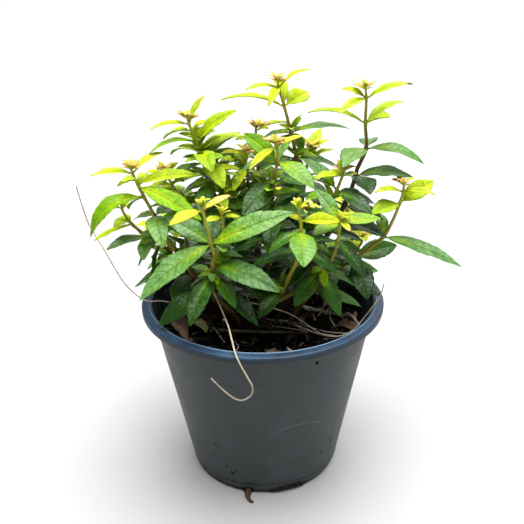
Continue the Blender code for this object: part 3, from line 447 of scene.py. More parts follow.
# Dry curls and long fibres on the soil: points with their height over it, and radius, in millimetres
CURLS = (
    (((33, 27, 1.0), (43, 23, 1.4), (54, 18, 1.2)), 0.95),
    (((51, 17, 0.5), (54, 20, 4), (57, 20, 6), (60, 18, 5), (65, 17, 0.5)), 0.6),
    (((57, 20, 6), (55, 12, 3), (55, 4, 1.5), (59, -11, 0.5)), 0.35),
    (((64, 11, 0.5), (69, 9, 3.5), (73, 3, 3.5), (75, 0, 1.5), (78, -5, 0.5)), 0.9),
    (((63, -7, 0.4), (67, -9, 1.6), (71, -9, 0.4)), 0.9),
    (((35, 23, 0.5), (40, 15, 2.5), (42, 5, 0.5)), 0.8),
    (((46, 25, 0.5), (50, 22, 3), (48, 15, 4), (45, 12, 1)), 0.5),
    (((-14, 50, 1), (-9, 30, 1.4), (3, 7, 1.2), (20, 2, 1.4), (48, -10, 1.4), (66, -22, 0.8)), 0.4),
    (((6, -2, 0.8), (22, -12, 2.2), (40, -18, 1.2), (58, -24, 0.8)), 0.35),
    (((-40, -4, 1), (-37, -14, 1.8), (-30, -28, 0.5)), 0.45),
    (((-74, 30, 8), (-73, 22, 4), (-74, 12, 0.5)), 0.35),
    (((-22, -30, 0.5), (-19, -40, 2.5), (-24, -49, 0.5)), 0.4),
)

# Scales of the streaks on wall and stems along each axis, colours that stay, and half the floor's width
WALL_STREAKS = (60, 60, 6)
STEM_STREAKS = (700, 700, 90)
LEAF_GLOW = (0.55, 1.0, 0.12)
SOIL_AND_SHADE_COLOR = (0.02, 0.014, 0.009)
SKY_COLOR = (0.97, 0.985, 1.0)
FLOOR_REACH = 9.0


def lerp_path(path, height):
    """Point on a stem's course at a height, which rises all the way."""
    for low, high in zip(path, path[1:]):
        if low[2] <= height <= high[2] and high[2] > low[2]:
            return Vector(low).lerp(Vector(high), (height - low[2]) / (high[2] - low[2]))
    return Vector(path[-1])


def stem_radius(path, height):
    """Radius of a course at a height: thicker the further it lies below the tip."""
    return min(BASE_STEM_RADIUS, TIP_RADIUS + SHOOT_GROWTH * (path[-1][2] - height))


def stem_radii(path):
    """Radius at each point of a course."""
    return [stem_radius(path, point[2]) for point in path]


def tube(points, radii, sides, pad=0.0):
    """Closed tube along points, as vertices and triangles."""
    points = [Vector(point) for point in points]
    vertices = []
    faces = []
    across = None
    for index, point in enumerate(points):
        ahead = points[min(index + 1, len(points) - 1)]
        behind = points[max(index - 1, 0)]
        along = (ahead - behind).normalized()
        if across is None:
            across = along.orthogonal().normalized()
        across = (across - along * across.dot(along)).normalized()
        other = along.cross(across)
        for side in range(sides):
            angle = math.tau * side / sides
            ring = across * math.cos(angle) + other * math.sin(angle)
            vertices.append(point + ring * (radii[index] + pad))
    for index in range(len(points) - 1):
        for side in range(sides):
            a = index * sides + side
            b = index * sides + (side + 1) % sides
            faces.append((a, b, b + sides))
            faces.append((a, b + sides, a + sides))
    last = (len(points) - 1) * sides
    for side in range(1, sides - 1):
        faces.append((0, side + 1, side))
        faces.append((last, last + side, last + side + 1))
    return vertices, faces


def blade_stations(length):
    """Shares of a blade's length with a tooth mark: 1 at a tooth's point, 0 in its notch."""
    if length > LARGE_BLADE:
        return ((0.3, 1), (0.45, 0), (0.57, 1), (0.67, 0), (0.79, 1))
    if length > MEDIUM_BLADE:
        return ((0.3, 1), (0.55, 1), (0.8, 1))
    if length > SMALL_BLADE:
        return ((0.38, 1), (0.72, 1))
    return ((0.5, 1),)


def blade_shape(share):
    """Half-width of a lance-shaped blade at a share of its length, from 0 to 1."""
    peak = 0.47
    return (share / peak) ** (peak * 1.5) * ((1.0 - share) / (1.0 - peak)) ** ((1.0 - peak) * 1.5)


def leaf_axes(leaf):
    """A leaf's run, its side and upward directions, and how strongly its line arches."""
    azimuth = math.radians(leaf["azimuth"])
    rise = math.radians(leaf["rise"])
    along = Vector((math.cos(rise) * math.cos(azimuth), math.cos(rise) * math.sin(azimuth), math.sin(rise)))
    level = Vector((-math.sin(azimuth), math.cos(azimuth), 0))
    side = Matrix.Rotation(math.radians(leaf["roll"]), 3, along) @ level
    return along, side, along.cross(side), math.tan(math.radians(leaf["arch"]) / 2)


def blade(leaf, pad=0.0, outer=False):
    """Closed arched blade as vertices and triangles: a point in its stem, a stalk ring, the blade and a tip.

    Large blades are folded along the rib. With outer, the stretch next to the stem is left out.
    """
    along, side, up, bend = leaf_axes(leaf)
    fold = math.tan(math.radians(FOLD))
    ribbed = leaf["length"] > LARGE_BLADE
    around = 4 if ribbed else 3
    stations = blade_stations(leaf["length"])
    if not outer:
        stations = ((leaf["grip"] / leaf["length"], 1),) + stations
    vertices = []
    faces = []
    for share, tooth in stations:
        centre = leaf["base"] + (along * share + up * bend * share * (1 - share)) * leaf["length"]
        tangent = (along + up * bend * (1 - 2 * share)).normalized()
        normal = tangent.cross(side)
        half = leaf["width"] / 2 * blade_shape(share) * (1.0 if tooth else 1.0 - TOOTH_DEPTH)
        if share < STALK_SHARE:
            half = PETIOLE_WIDTH / 2
        half += pad
        thick = RIB_THICK * (1.0 - 0.35 * share) / 2 + pad
        raised = half * fold if ribbed else thick
        vertices.append(centre - side * half + normal * raised)
        if ribbed:
            vertices.append(centre + normal * thick)
        vertices.append(centre + side * half + normal * raised)
        vertices.append(centre - normal * thick)
    for ring in range(len(stations) - 1):
        a = around * ring
        b = a + around
        if ribbed:
            faces.extend(((a, b + 1, a + 1), (a, b, b + 1), (a + 2, a + 1, b + 1), (a + 2, b + 1, b + 2)))
            faces.extend(((a, a + 3, b + 3), (a, b + 3, b), (a + 2, b + 3, a + 3), (a + 2, b + 2, b + 3)))
        else:
            faces.extend(((a, b, b + 1), (a, b + 1, a + 1), (a, a + 2, b + 2), (a, b + 2, b)))
            faces.extend(((a + 1, b + 2, a + 2), (a + 1, b + 1, b + 2)))
    last = around * (len(stations) - 1)
    root = len(vertices)
    vertices.append(leaf["base"] + along * ROOT_SINK * leaf["grip"])
    vertices.append(leaf["base"] + along * (leaf["length"] + pad))
    if outer:
        vertices[root] = sum(vertices[:around], Vector()) / around
    for corner in range(around):
        after = (corner + 1) % around
        faces.append((corner, after, root))
        faces.append((last + corner, root + 1, last + after))
    return vertices, faces


def soil_height(x, y):
    """Height of the soil's uneven top."""
    rough = noise.noise(Vector((x / SOIL_BUMP_SIZE, y / SOIL_BUMP_SIZE, 3.7)))
    fine = noise.noise(Vector((x / FINE_BUMP_SIZE, y / FINE_BUMP_SIZE, 9.1)))
    return SOIL_TOP + SOIL_BUMP * rough + FINE_BUMP * fine


def meets_pot(vertices):
    """Whether any point lies in the pot's wall or rim, or too near the soil."""
    for point in vertices:
        reach = math.hypot(point.x, point.y)
        if point.z < LEAF_FLOOR and reach < RIM_RADIUS:
            return True
        if point.z < RIM_TOP + OVER_RIM and MOUTH_RADIUS - INSIDE_RIM < reach < RIM_RADIUS + BESIDE_RIM:
            return True
    return False


def solid_entry(node, vertices, faces, outer=None):
    """What the clearing rule needs of one solid: its node, box and search trees."""
    low = [min(point[axis] for point in vertices) for axis in range(3)]
    high = [max(point[axis] for point in vertices) for axis in range(3)]
    tree = BVHTree.FromPolygons(vertices, faces)
    inner = tree if outer is None else BVHTree.FromPolygons(*outer)
    return {"node": node, "low": low, "high": high, "tree": tree, "outer": inner}


def is_clear(entry, solids):
    """Whether a leaf crosses no solid of another node, and no blade or stem of its own past its stalk."""
    for solid in solids:
        apart = any(entry["low"][axis] > solid["high"][axis] or entry["high"][axis] < solid["low"][axis]
                    for axis in range(3))
        if apart:
            continue
        key = "outer" if solid["node"] == entry["node"] else "tree"
        if entry[key].overlap(solid[key]):
            return False
    return True


def bends():
    """Turns, lifts and scales to try on a leaf, the smallest change first."""
    return sorted((abs(turn) + abs(lift) + SCALE_COST * (1 - scale), turn, lift, scale)
                  for turn in TURNS for lift in LIFTS for scale in SCALES)


def place(leaf, solids, tries):
    """Bends a leaf until it is clear of everything placed before it; None where nothing is."""
    for _, turn, lift, scale in tries:
        bent = dict(leaf)
        bent["azimuth"] += turn
        bent["rise"] = max(RISE_LIMITS[0], min(RISE_LIMITS[1], bent["rise"] + lift))
        bent["length"] *= scale
        bent["width"] *= scale
        vertices, faces = blade(bent, SIDE_MARGIN)
        if meets_pot(vertices):
            continue
        entry = solid_entry(leaf["node"], vertices, faces, blade(bent, SIDE_MARGIN, True))
        if is_clear(entry, solids):
            solids.append(entry)
            return bent
    return None


def new_leaf(course, height, draw, azimuth, rise, length, width, arch, roll=None):
    """A leaf as a plain record; grip is how far from the stem's axis its stalk begins."""
    path = course[0]
    height = min(height, path[-1][2] - 0.8)
    base = lerp_path(path, height)
    radius = stem_radius(path, height)
    lean = FACE_LEAN * math.cos(math.radians(azimuth)) + draw.uniform(-10, 10)
    roll = lean if roll is None else roll
    steep = math.radians(min(70.0, abs(rise + 0.35 * arch)))
    return {"base": base, "azimuth": azimuth, "rise": rise, "length": length, "width": width, "arch": arch,
            "roll": roll, "grip": min(GRIP * radius / math.cos(steep), 0.25 * length)}


def table_leaves(course, draw):
    """Leaves that the table gives for one course."""
    for index, (height, leaves) in enumerate(course[2]):
        for leaf in leaves:
            age = leaf_age(course, height, index, *leaf[2:4])
            yield dict(new_leaf(course, height, draw, *leaf), age=age)


def grown_leaves(course, draw):
    """Leaves that a rule adds: whorls of three down the course, each turned by 60 degrees from the last."""
    path, count, whorls = course
    spin = draw.uniform(0, 120)
    height = whorls[-1][0] - BELOW_TABLE if whorls else path[-1][2] - BELOW_TIP
    first = 3 if whorls else 0
    for index in range(count if whorls else count + 1):
        place_in_row = min(first + index, len(GROWN_LENGTHS) - 1)
        if height < SOIL_TOP + OVER_SOIL:
            break
        for third in range(3):
            length = GROWN_LENGTHS[place_in_row] * draw.uniform(0.85, 1.15)
            azimuth = spin + 120 * third + 60 * index + draw.uniform(-14, 14)
            rise = 24 - 14 * place_in_row + draw.uniform(-8, 8)
            width = length * draw.uniform(0.33, 0.42)
            arch = draw.uniform(30, 55)
            age = leaf_age(course, height, place_in_row)
            yield dict(new_leaf(course, height, draw, azimuth, rise, length, width, arch), age=age)
        height -= GROWN_STEPS[place_in_row]


def tip_leaves(course, draw):
    """The cluster of unopened leaves at a shoot's tip."""
    height = course[0][-1][2]
    spin = draw.uniform(0, 90)
    for index in range(3):
        azimuth = spin + 120 * index + draw.uniform(-12, 12)
        rise = 30 + 22 * (index % 2) + draw.uniform(-6, 6)
        yield dict(new_leaf(course, height, draw, azimuth, rise, draw.uniform(8, 11), 3.6, 50), age=0.04)


def plan_solids():
    """Search trees of every stem and stalk, which the leaves keep clear of."""
    solids = []
    for node, courses in STEMS.items():
        for path, _, _ in courses:
            solids.append(solid_entry(node, *tube(path, stem_radii(path), STEM_SIDES, SIDE_MARGIN)))
    for node, (path, radius) in STALKS.items():
        solids.append(solid_entry(node, *tube(path, [radius] * len(path), STEM_SIDES, SIDE_MARGIN)))
    return solids


def plan_leaves(sources, draw, solids, tries):
    """Every leaf of the given sources, bent clear of its neighbours."""
    leaves = []
    for source in sources:
        for node, courses in STEMS.items():
            for course in courses:
                for leaf in source(course, draw):
                    leaf["node"] = node
                    if leaf["age"] > YOUNG_AGE:
                        leaf["age"] = max(YOUNG_AGE, min(1.0, leaf["age"] + AGE_SHIFTS.get(node, 0.0)))
                    size = leaf["length"], leaf["width"]
                    leaf["age"] = LEAF_AGES.get(node, {}).get(size, leaf["age"])
                    placed = place(leaf, solids, tries)
                    if placed:
                        leaves.append(placed)
    return leaves


def leaf_age(course, height, index, length=0, width=0):
    """Age of a leaf from 0 to 1, by its distance below the tip, its whorl's number and its area."""
    below = (course[0][-1][2] - height) / 60.0
    by_place = 0.4 * below + 0.6 * WHORL_AGES[min(index, len(WHORL_AGES) - 1)]
    by_area = (length * width - 500.0) / 550.0
    return max(0.0, min(1.0, max(by_place, by_area)))


def from_heart(point):
    """Distance of a point from the crown's heart, seen from above."""
    return math.hypot(point.x - CROWN_HEART[0], point.y - CROWN_HEART[1])


def axil_leaves(course, draw):
    """Pairs of small leaves that sprout in the angles of the older leaves."""
    for index, (height, leaves) in enumerate(course[2]):
        foot = lerp_path(course[0], height)
        if from_heart(foot) > CROWN_REACH + 10.0:
            continue
        for leaf in leaves if index > 1 else ():
            for turn in (-30, 30):
                length = (6.5 + 2.6 * index) * draw.uniform(0.75, 1.3)
                azimuth = leaf[0] + turn + draw.uniform(-14, 14)
                rise = leaf[1] + draw.uniform(25, 55)
                row = new_leaf(course, height + 1.4, draw, azimuth, rise, length, 0.36 * length, 45)
                yield dict(row, age=0.1 * index + draw.uniform(0.08, 0.3))


def gap_leaves(course, draw):
    """Leaves that close gaps in the crown's outline."""
    for height, age, *leaf in GAP_LEAVES.get(course[0][-1], ()):
        yield dict(new_leaf(course, height, draw, *leaf), age=age)


def filler_leaves(course, draw):
    """Grown leaves that fill the heart of the crown between and below the whorls of the table."""
    path, _, whorls = course
    heights = [whorl[0] for whorl in whorls]
    gaps = [(high + low) / 2 for high, low in zip(heights[1:], heights[2:])]
    lowest = min(heights) if heights else path[-1][2] - 40
    gaps.extend(lowest - FILL_STEP * step for step in range(1, 7))
    for height in gaps:
        if not max(FILL_FLOOR, path[0][2]) < height < min(FILL_TOP, path[-1][2]):
            continue
        spin = draw.uniform(0, 120)
        for third in range(3):
            length = draw.uniform(22, 36)
            azimuth = spin + 120 * third + draw.uniform(-18, 18)
            row = new_leaf(course, height, draw, azimuth, draw.uniform(-25, 20), length,
                           length * draw.uniform(0.28, 0.36), draw.uniform(25, 50))
            tip = row["base"] + leaf_axes(row)[0] * length
            if from_heart(tip) < CROWN_REACH and tip.z > FILL_FLOOR:
                old = min(1.0, max(0.0, (FILL_BRIGHT - height) / 60.0))
                yield dict(row, age=0.25 + 0.75 * old * draw.uniform(0.85, 1.0))


def cluster_leaves(course, draw, small):
    """Tiny curled leaves that crowd round a shoot's tip; a small bud has few and holds them upright."""
    path = course[0]
    lean = draw.uniform(0, 360)
    count = FEW_LEAVES if small else CLUSTER_LEAVES
    for index in range(count):
        azimuth = GOLDEN_ANGLE * index + draw.uniform(-25, 25)
        share = index / count
        toward = math.cos(math.radians(azimuth - lean))
        rise = (50 if small else 18) + 40 * share - 8 * toward + draw.uniform(-10, 10)
        length = draw.uniform(6.0, 11.5) * (1.0 - 0.45 * share) * (1.0 + 0.2 * toward)
        row = new_leaf(course, path[-1][2] - 1.6 + 2.4 * share, draw, azimuth, rise, length,
                       draw.uniform(0.24, 0.34) * length, draw.uniform(10, 95))
        yield dict(row, age=0.045 if small else 0.0)


def new_object(name, data):
    """Object in the scene with the data given."""
    obj = bpy.data.objects.new(name, data)
    bpy.context.scene.collection.objects.link(obj)
    return obj


class Gather:
    """Points, faces and values of one piece, collected part by part in millimetres."""

    def __init__(self):
        self.points = []
        self.faces = []
        self.finish = []
        self.values = {name: [] for name in ("age", "tint", "along", "across", "under")}

    def add(self, points, faces, finish=0, **values):
        """Adds one part; a value is one number, or a row with a number for each point."""
        start = len(self.points)
        self.points.extend(points)
        self.faces.extend(tuple(start + corner for corner in face) for face in faces)
        self.finish.extend([finish] * len(faces))
        for name, row in self.values.items():
            given = values.get(name, 0.0)
            row.extend(given if isinstance(given, list) else [given] * len(points))

    def rod(self, points, radii, sides, ridge=0.0, ridges=4, **values):
        """Adds a closed tube with lengthwise ridges."""
        vertices, faces = tube(points, radii, sides)
        for index, vertex in enumerate(vertices):
            centre = points[index // sides]
            swell = 1.0 + ridge * math.cos(math.tau * ridges * (index % sides) / sides)
            vertices[index] = centre + (vertex - centre) * swell
        self.add(vertices, faces, **values)

    def lump(self, centre, axes, draw):
        """Adds an uneven lump of twenty faces; axes are its three half-length vectors."""
        points = []
        for corner in LUMP_CORNERS:
            reach = axes[0] * corner[0] + axes[1] * corner[1] + axes[2] * corner[2]
            points.append(centre + reach * draw.uniform(1 - LUMP_ROUGH, 1 + LUMP_ROUGH))
        self.add(points, LUMP_FACES, tint=draw.random())

    def crumple(self, amount):
        """Shakes the points of dry leaves, in the same way at each run."""
        noise.seed_set(SEED)
        self.points = [point + noise.noise_vector(point * 0.22) * amount for point in self.points]

    def lower_onto(self, node):
        """Moves the points until their lowest is as high as the lowest of the solid they stand for."""
        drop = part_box(node)[0].z / MM - min(point.z for point in self.points)
        self.points = [point + Vector((0, 0, drop)) for point in self.points]

    def piece(self, name, materials, nodes=(), sharp=None):
        """Makes the object, which rides on the plant's one body and stands for the nodes given."""
        mesh = bpy.data.meshes.new(name)
        mesh.from_pydata([tuple(value * MM for value in point) for point in self.points], [], self.faces)
        for material in materials:
            mesh.materials.append(material)
        mesh.polygons.foreach_set("material_index", self.finish)
        for value, row in self.values.items():
            if any(row):
                mesh.attributes.new(value, "FLOAT", "POINT").data.foreach_set("value", row)
        mesh.shade_smooth()
        if sharp is not None:
            mesh.set_sharp_from_angle(angle=math.radians(sharp))
        mesh.update()
        obj = new_object(name, mesh)
        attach(obj, "root")
        if nodes:
            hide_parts(*nodes)
        return obj


def smooth_path(points, step):
    """Points about a step apart on a smooth curve through the points given."""
    points = [Vector(point) for point in points]
    ends = [points[0] * 2 - points[1], *points, points[-1] * 2 - points[-2]]
    path = []
    for before, start, end, after in zip(ends, ends[1:], ends[2:], ends[3:]):
        count = max(1, round((end - start).length / step))
        for index in range(count):
            t = index / count
            path.append(0.5 * (2 * start + (end - before) * t
                               + (2 * before - 5 * start + 4 * end - after) * t * t
                               + (3 * start - before - 3 * end + after) * t * t * t))
    path.append(points[-1])
    return path


def shares_of(points, repeats=1):
    """How far along its line each point lies, from 0 to 1, each share repeated for a ring of points."""
    lengths = [0.0]
    for start, end in zip(points, points[1:]):
        lengths.append(lengths[-1] + (end - start).length)
    return [length / lengths[-1] for length in lengths for _ in range(repeats)]


def lance(share):
    """Half-width of a lance-shaped leaf at a share of its length, from 0 to 1."""
    if not 0.0 < share < 1.0:
        return 0.0
    rise = (share / LANCE_PEAK) ** LANCE_POWER
    return rise * ((1.0 - share) / (1.0 - LANCE_PEAK)) ** (LANCE_POWER * (1.0 - LANCE_PEAK) / LANCE_PEAK)


def leaf_rows(leaf, teeth, rows):
    """Shares of a leaf's length at which it has a row of points, and its stalk's share."""
    stalk = min(0.11, STALK_LENGTH / leaf["length"])
    steps = teeth * rows
    blade_rows = [stalk + (1 - stalk) * row / steps for row in range(1, steps)]
    return stalk, [stalk * 0.45, stalk] + blade_rows


def puff(shape, share, out):
    """How far a quilted blade rises between two side veins, from 0 to 1."""
    if not shape["quilted"]:
        return 0.0
    return 0.5 - 0.5 * math.cos(math.tau * shape["teeth"] * (share - shape["slant"] * out ** 1.2))


def leaf_section(leaf, lanes, half, share, saw, shape):
    """Offsets across and up of one row: its upper face from edge to edge, then its lower face."""
    width = leaf["width"] / 2
    upper = []
    for u in lanes:
        out = abs(u)
        edge = half * (1.0 - shape["cut"] * (1.0 - saw)) if out == 1.0 else half * out
        lift = half * math.tan(shape["fold"]) * (out - 0.32 * out ** 3)
        wave, phase = shape["waves"][u > 0]
        lift += WAVE * half * out ** 3 * math.sin(math.tau * wave * share + phase)
        lift += QUILT * width * puff(shape, share, out) * math.sqrt(out) * (1 - out * out) * lance(share)
        lift -= shape["curl"] * half * out * out
        upper.append((math.copysign(edge, u), lift))
    lower = []
    for u, (across, lift) in zip(lanes[1:-1], upper[1:-1]):
        out = abs(u)
        rib = max(0.0, 1.0 - out * half / RIB_HALF) if half > PETIOLE_HALF * 1.3 else 1.0 - out * out
        deep = LAMINA * (1 - out ** 4) + RIB_DEPTH * rib * (1 - 0.75 * share) * min(1.0, leaf["length"] / 30)
        lower.append((across, lift - deep))
    return upper + lower


def fine_leaf(gather, leaf, draw, fold=None, curl=0.0):
    """Adds a thin leaf with its stalk, folded along the rib, quilted between its veins and toothed."""
    teeth, rows, cut, columns = next(grid[1:] for grid in BLADE_GRIDS if leaf["length"] > grid[0])
    along, side, up, bend = leaf_axes(leaf)
    shape = {"fold": math.radians(fold or 27 - 17 * min(1.0, leaf["age"] * 1.4)), "curl": curl, "cut": cut,
             "waves": [(draw.uniform(1.6, 3.1), draw.uniform(0, math.tau)) for _ in range(2)],
             "teeth": teeth, "quilted": rows > 3, "slant": 0.4 * leaf["width"] / leaf["length"]}
    stalk, shares = leaf_rows(leaf, teeth, rows)
    twist = math.radians(draw.uniform(-14, 14))
    sway = leaf["length"] * draw.uniform(-0.02, 0.02)
    lanes = [-u for u in columns[:0:-1]] + list(columns)
    count = len(lanes)
    ring = 2 * count - 2
    points = []
    alongs = []
    for index, share in enumerate(shares):
        centre = leaf["base"] + (along * share + up * bend * share * (1 - share)) * leaf["length"]
        centre += side * sway * math.sin(math.pi * share)
        tangent = (along + up * bend * (1 - 2 * share)).normalized()
        across = Matrix.Rotation(twist * share * share, 3, tangent) @ side
        normal = tangent.cross(across)
        blade_share = (share - stalk) / (1 - stalk)
        half = PETIOLE_HALF * (1 - 0.6 * share) * min(1.0, leaf["length"] / 20)
        half += leaf["width"] / 2 * lance(blade_share)
        saw = (index - 1) % rows / (rows - 1) if blade_share > TOOTHLESS else 0.7
        blade_share = max(0.0, blade_share)
        for over, lift in leaf_section(leaf, lanes, half, blade_share, saw, shape):
            points.append(centre + across * over + normal * lift)
        alongs.extend([blade_share] * ring)
    faces = []
    order = list(range(count)) + list(range(ring - 1, count - 1, -1))
    pairs = list(zip(order, order[1:] + order[:1]))
    for row in range(len(shares) - 1):
        start = row * ring
        faces.extend((start + a, start + a + ring, start + b + ring, start + b) for a, b in pairs)
    last = ring * (len(shares) - 1)
    root = len(points)
    faces.extend((a, b, root) for a, b in pairs)
    faces.extend((last + b, last + a, root + 1) for a, b in pairs)
    points.append(leaf["base"] + along * ROOT_SINK * leaf["grip"])
    points.append(leaf["base"] + along * leaf["length"])
    unders = ([0.5] + [0.0] * (count - 2) + [0.5] + [1.0] * (count - 2)) * len(shares) + [0.5, 0.5]
    acrosses = (lanes + lanes[1:-1]) * len(shares) + [0.0, 0.0]
    tint = draw.random()
    if (leaf.get("node"), leaf["length"], leaf["width"]) == SCORCHED:
        tint = 2.0
    finish = YOUNG_FINISH if leaf["age"] < SOFT_AGE else GROWN_FINISH
    gather.add(points, faces, finish, age=leaf["age"], tint=tint, along=alongs + [0.0, 1.0],
               across=acrosses, under=unders)


def fine_stem(gather, course, draw, ageing):
    """One shoot's stem with low ridges, a knot at each whorl and a bud at its tip."""
    path, _, whorls = course
    points = smooth_path(path, 2.4)
    tip = path[-1][2]
    radii = []
    for point in points:
        radius = SLIM * stem_radius(path, point.z)
        radius *= 1.0 - 0.3 * max(0.0, 1.0 - (tip - point.z) / 6.0)
        for height, _ in whorls:
            radius *= 1.0 + 0.38 * math.exp(-((point.z - height) / 1.5) ** 2)
        radii.append(radius * (1.0 + 0.05 * noise.noise(point * 0.3)))
    top = points[-1]
    bud = (top - points[-2]).normalized()
    for rise, radius in ((1.0, 1.0), (1.9, 0.75), (2.5, 0.3)):
        points.append(top + bud * rise)
        radii.append(radius)
    ages = [min(1.0, max(0.0, (tip - point.z) / ageing)) for point in points for _ in range(FINE_SIDES)]
    gather.rod(points, radii, FINE_SIDES, 0.07, finish=STEM_FINISH, age=ages, tint=draw.random(),
               along=shares_of(points, FINE_SIDES))


def turned(profile, sides):
    """Closed solid of revolution; the profile starts and ends on the axis and runs up its outer side."""
    vertices = []
    faces = []
    rings = []
    for radius, height in profile:
        if radius == 0:
            rings.append([len(vertices)] * sides)
            vertices.append(Vector((0, 0, height)))
        else:
            rings.append(list(range(len(vertices), len(vertices) + sides)))
            for side in range(sides):
                angle = math.tau * side / sides
                vertices.append(Vector((radius * math.cos(angle), radius * math.sin(angle), height)))
    for low, high in zip(rings, rings[1:]):
        for side in range(sides):
            after = (side + 1) % sides
            faces.append(tuple(dict.fromkeys((low[side], low[after], high[after], high[side]))))
    return vertices, faces


def arc(centre_radius, centre_height, radius, start, end, steps):
    """Points of a round corner, from one angle to another in degrees."""
    points = []
    for step in range(steps + 1):
        angle = math.radians(start + (end - start) * step / steps)
        points.append((centre_radius + radius * math.cos(angle), centre_height + radius * math.sin(angle)))
    return points


def body_radius(height):
    """Outer radius of the pot's tapered body."""
    share = (height - CORNER) / (RIM_TOP - CORNER)
    return BASE_RADIUS + share * (BODY_TOP_RADIUS - BASE_RADIUS)


def wall_point(angle, height, out=0.0):
    """Point on the pot's outer face at an angle in degrees and a height."""
    radius = body_radius(height)
    if height < CORNER:
        radius = BASE_RADIUS - CORNER + math.sqrt(CORNER ** 2 - (CORNER - height) ** 2)
    turn = math.radians(angle)
    return Vector(((radius + out) * math.cos(turn), (radius + out) * math.sin(turn), height))


def inner_profile(gap, top):
    """The pot's inner face up to a height, moved inward by a gap."""
    inner_corner = CORNER - WALL
    points = arc(BASE_RADIUS - CORNER, FLOOR_THICK + inner_corner, inner_corner - gap, -90, 0, 6)
    points.append((body_radius(top) - WALL - gap, top))
    return points


def outer_profile():
    """The pot's outer face from its centre to the mouth, with its groove, skirt and crowned rim."""
    points = [(0, 0)] + arc(BASE_RADIUS - CORNER, CORNER, CORNER, -90, 0, 12)
    points.append((body_radius(GROOVE_Z) - 0.5, GROOVE_Z))
    points.append((body_radius(GROOVE_Z + 0.9), GROOVE_Z + 0.9))
    points.extend((body_radius(height), height) for height in range(14, 140, WALL_STEP))
    underside = RIM_TOP - RIM_THICK
    skirt_bottom = RIM_TOP - SKIRT_HEIGHT
    points.append((body_radius(underside - 0.6), underside - 0.6))
    points.append((body_radius(underside) + 0.6, underside))
    points.append((RIM_RADIUS - SKIRT_THICK - 0.6, underside))
    points.append((RIM_RADIUS - SKIRT_THICK, underside - 0.6))
    points.append((RIM_RADIUS - SKIRT_THICK, skirt_bottom + 0.4))
    points.extend(arc(RIM_RADIUS - 0.7, skirt_bottom + 0.5, 0.5, -130, 0, 4))
    points[-1] = (RIM_RADIUS - 0.15, skirt_bottom + 0.6)
    points.extend(arc(RIM_RADIUS - RIM_ROUND, RIM_TOP - RIM_ROUND, RIM_ROUND, 0, 90, 6))
    start = RIM_RADIUS - RIM_ROUND
    end = MOUTH_RADIUS + MOUTH_ROUND
    for step in range(1, 16):
        share = step / 16
        bead = RIM_BEAD * math.exp(-((share - RIM_BEAD_SHARE) / 0.07) ** 2)
        points.append((start + (end - start) * share, RIM_TOP + RIM_CROWN * math.sin(math.pi * share) + bead))
    points.extend(arc(end, RIM_TOP - MOUTH_ROUND, MOUTH_ROUND, 90, 180, 4))
    return points


def pot_inside():
    """The pot's inner face from its floor to the mouth, with its stacking shoulder and two faint steps."""
    points = [(0, FLOOR_THICK)] + inner_profile(0.0, SHOULDER_Z - SHOULDER_STEP)
    points.append((body_radius(SHOULDER_Z) - WALL + SHOULDER_STEP * 0.4, SHOULDER_Z))
    for height in INSIDE_STEPS:
        radius = MOUTH_RADIUS - 0.35 * (RIM_TOP - height) / 6.0
        points.extend(((radius - 0.35, height - 0.3), (radius, height + 0.3)))
    return points


def notch_cutter(index):
    """Cutter of one drain notch: a box with round upper corners, laid along a radius."""
    half = NOTCH_WIDTH / 2
    outline = [(-half, -1.0), (half, -1.0)]
    outline.extend(arc(half - NOTCH_ROUND, NOTCH_HEIGHT - NOTCH_ROUND, NOTCH_ROUND, 0, 90, 4))
    outline.extend(arc(-half + NOTCH_ROUND, NOTCH_HEIGHT - NOTCH_ROUND, NOTCH_ROUND, 90, 180, 4))
    turn = Matrix.Rotation(math.radians(NOTCH_FIRST + 360 * index / NOTCHES), 3, "Z")
    count = len(outline)
    points = [turn @ Vector((reach, y, z)) for reach in NOTCH_REACH for y, z in outline]
    faces = [tuple(range(count))[::-1], tuple(range(count, 2 * count))]
    for corner in range(count):
        after = (corner + 1) % count
        faces.append((corner, after, after + count, corner + count))
    return points, faces


def cut_notches(pot):
    """Cuts the drain notches into the pot's lower edge."""
    cutters = Gather()
    for index in range(NOTCHES):
        cutters.add(*notch_cutter(index))
    mesh = bpy.data.meshes.new("notch_cutters")
    mesh.from_pydata([point * MM for point in cutters.points], [], cutters.faces)
    helper = new_object("notch_cutters", mesh)
    boolean = pot.modifiers.new("notches", "BOOLEAN")
    boolean.operation = "DIFFERENCE"
    boolean.object = helper
    boolean.solver = "EXACT"
    graph = bpy.context.evaluated_depsgraph_get()
    cut = bpy.data.meshes.new_from_object(pot.evaluated_get(graph))
    pot.modifiers.clear()
    pot.data = cut
    cut.name = pot.name
    cut.shade_smooth()
    cut.set_sharp_from_angle(angle=math.radians(POT_SHARP))
    bpy.data.objects.remove(helper)


def half_axes(x, y, z):
    """Half-length vectors of an upright lump."""
    return [Vector((x, 0, 0)), Vector((0, y, 0)), Vector((0, 0, z))]


def bed_height(x, y):
    """Height of the soil's crumbly top, lower at the pot's wall."""
    clods = 1.1 * noise.noise(Vector((x / 4.6, y / 4.6, 1.9)))
    clods += 0.6 * noise.noise(Vector((x / 2.1, y / 2.1, 6.3)))
    edge = body_radius(SOIL_TOP) - WALL - GAP
    drop = max(0.0, math.hypot(x, y) - edge + 9.0) / 9.0
    return soil_height(x, y) + clods - 2.2 * drop * drop


def over_bed(x, y, height):
    """Point at a height over the soil's crumbly top."""
    return Vector((x, y, bed_height(x, y) + height))


def on_soil(draw, margin):
    """Random place on the soil, away from the wall."""
    radius = (body_radius(SOIL_TOP) - WALL - margin) * math.sqrt(draw.random())
    angle = draw.uniform(0, math.tau)
    return radius * math.cos(angle), radius * math.sin(angle)


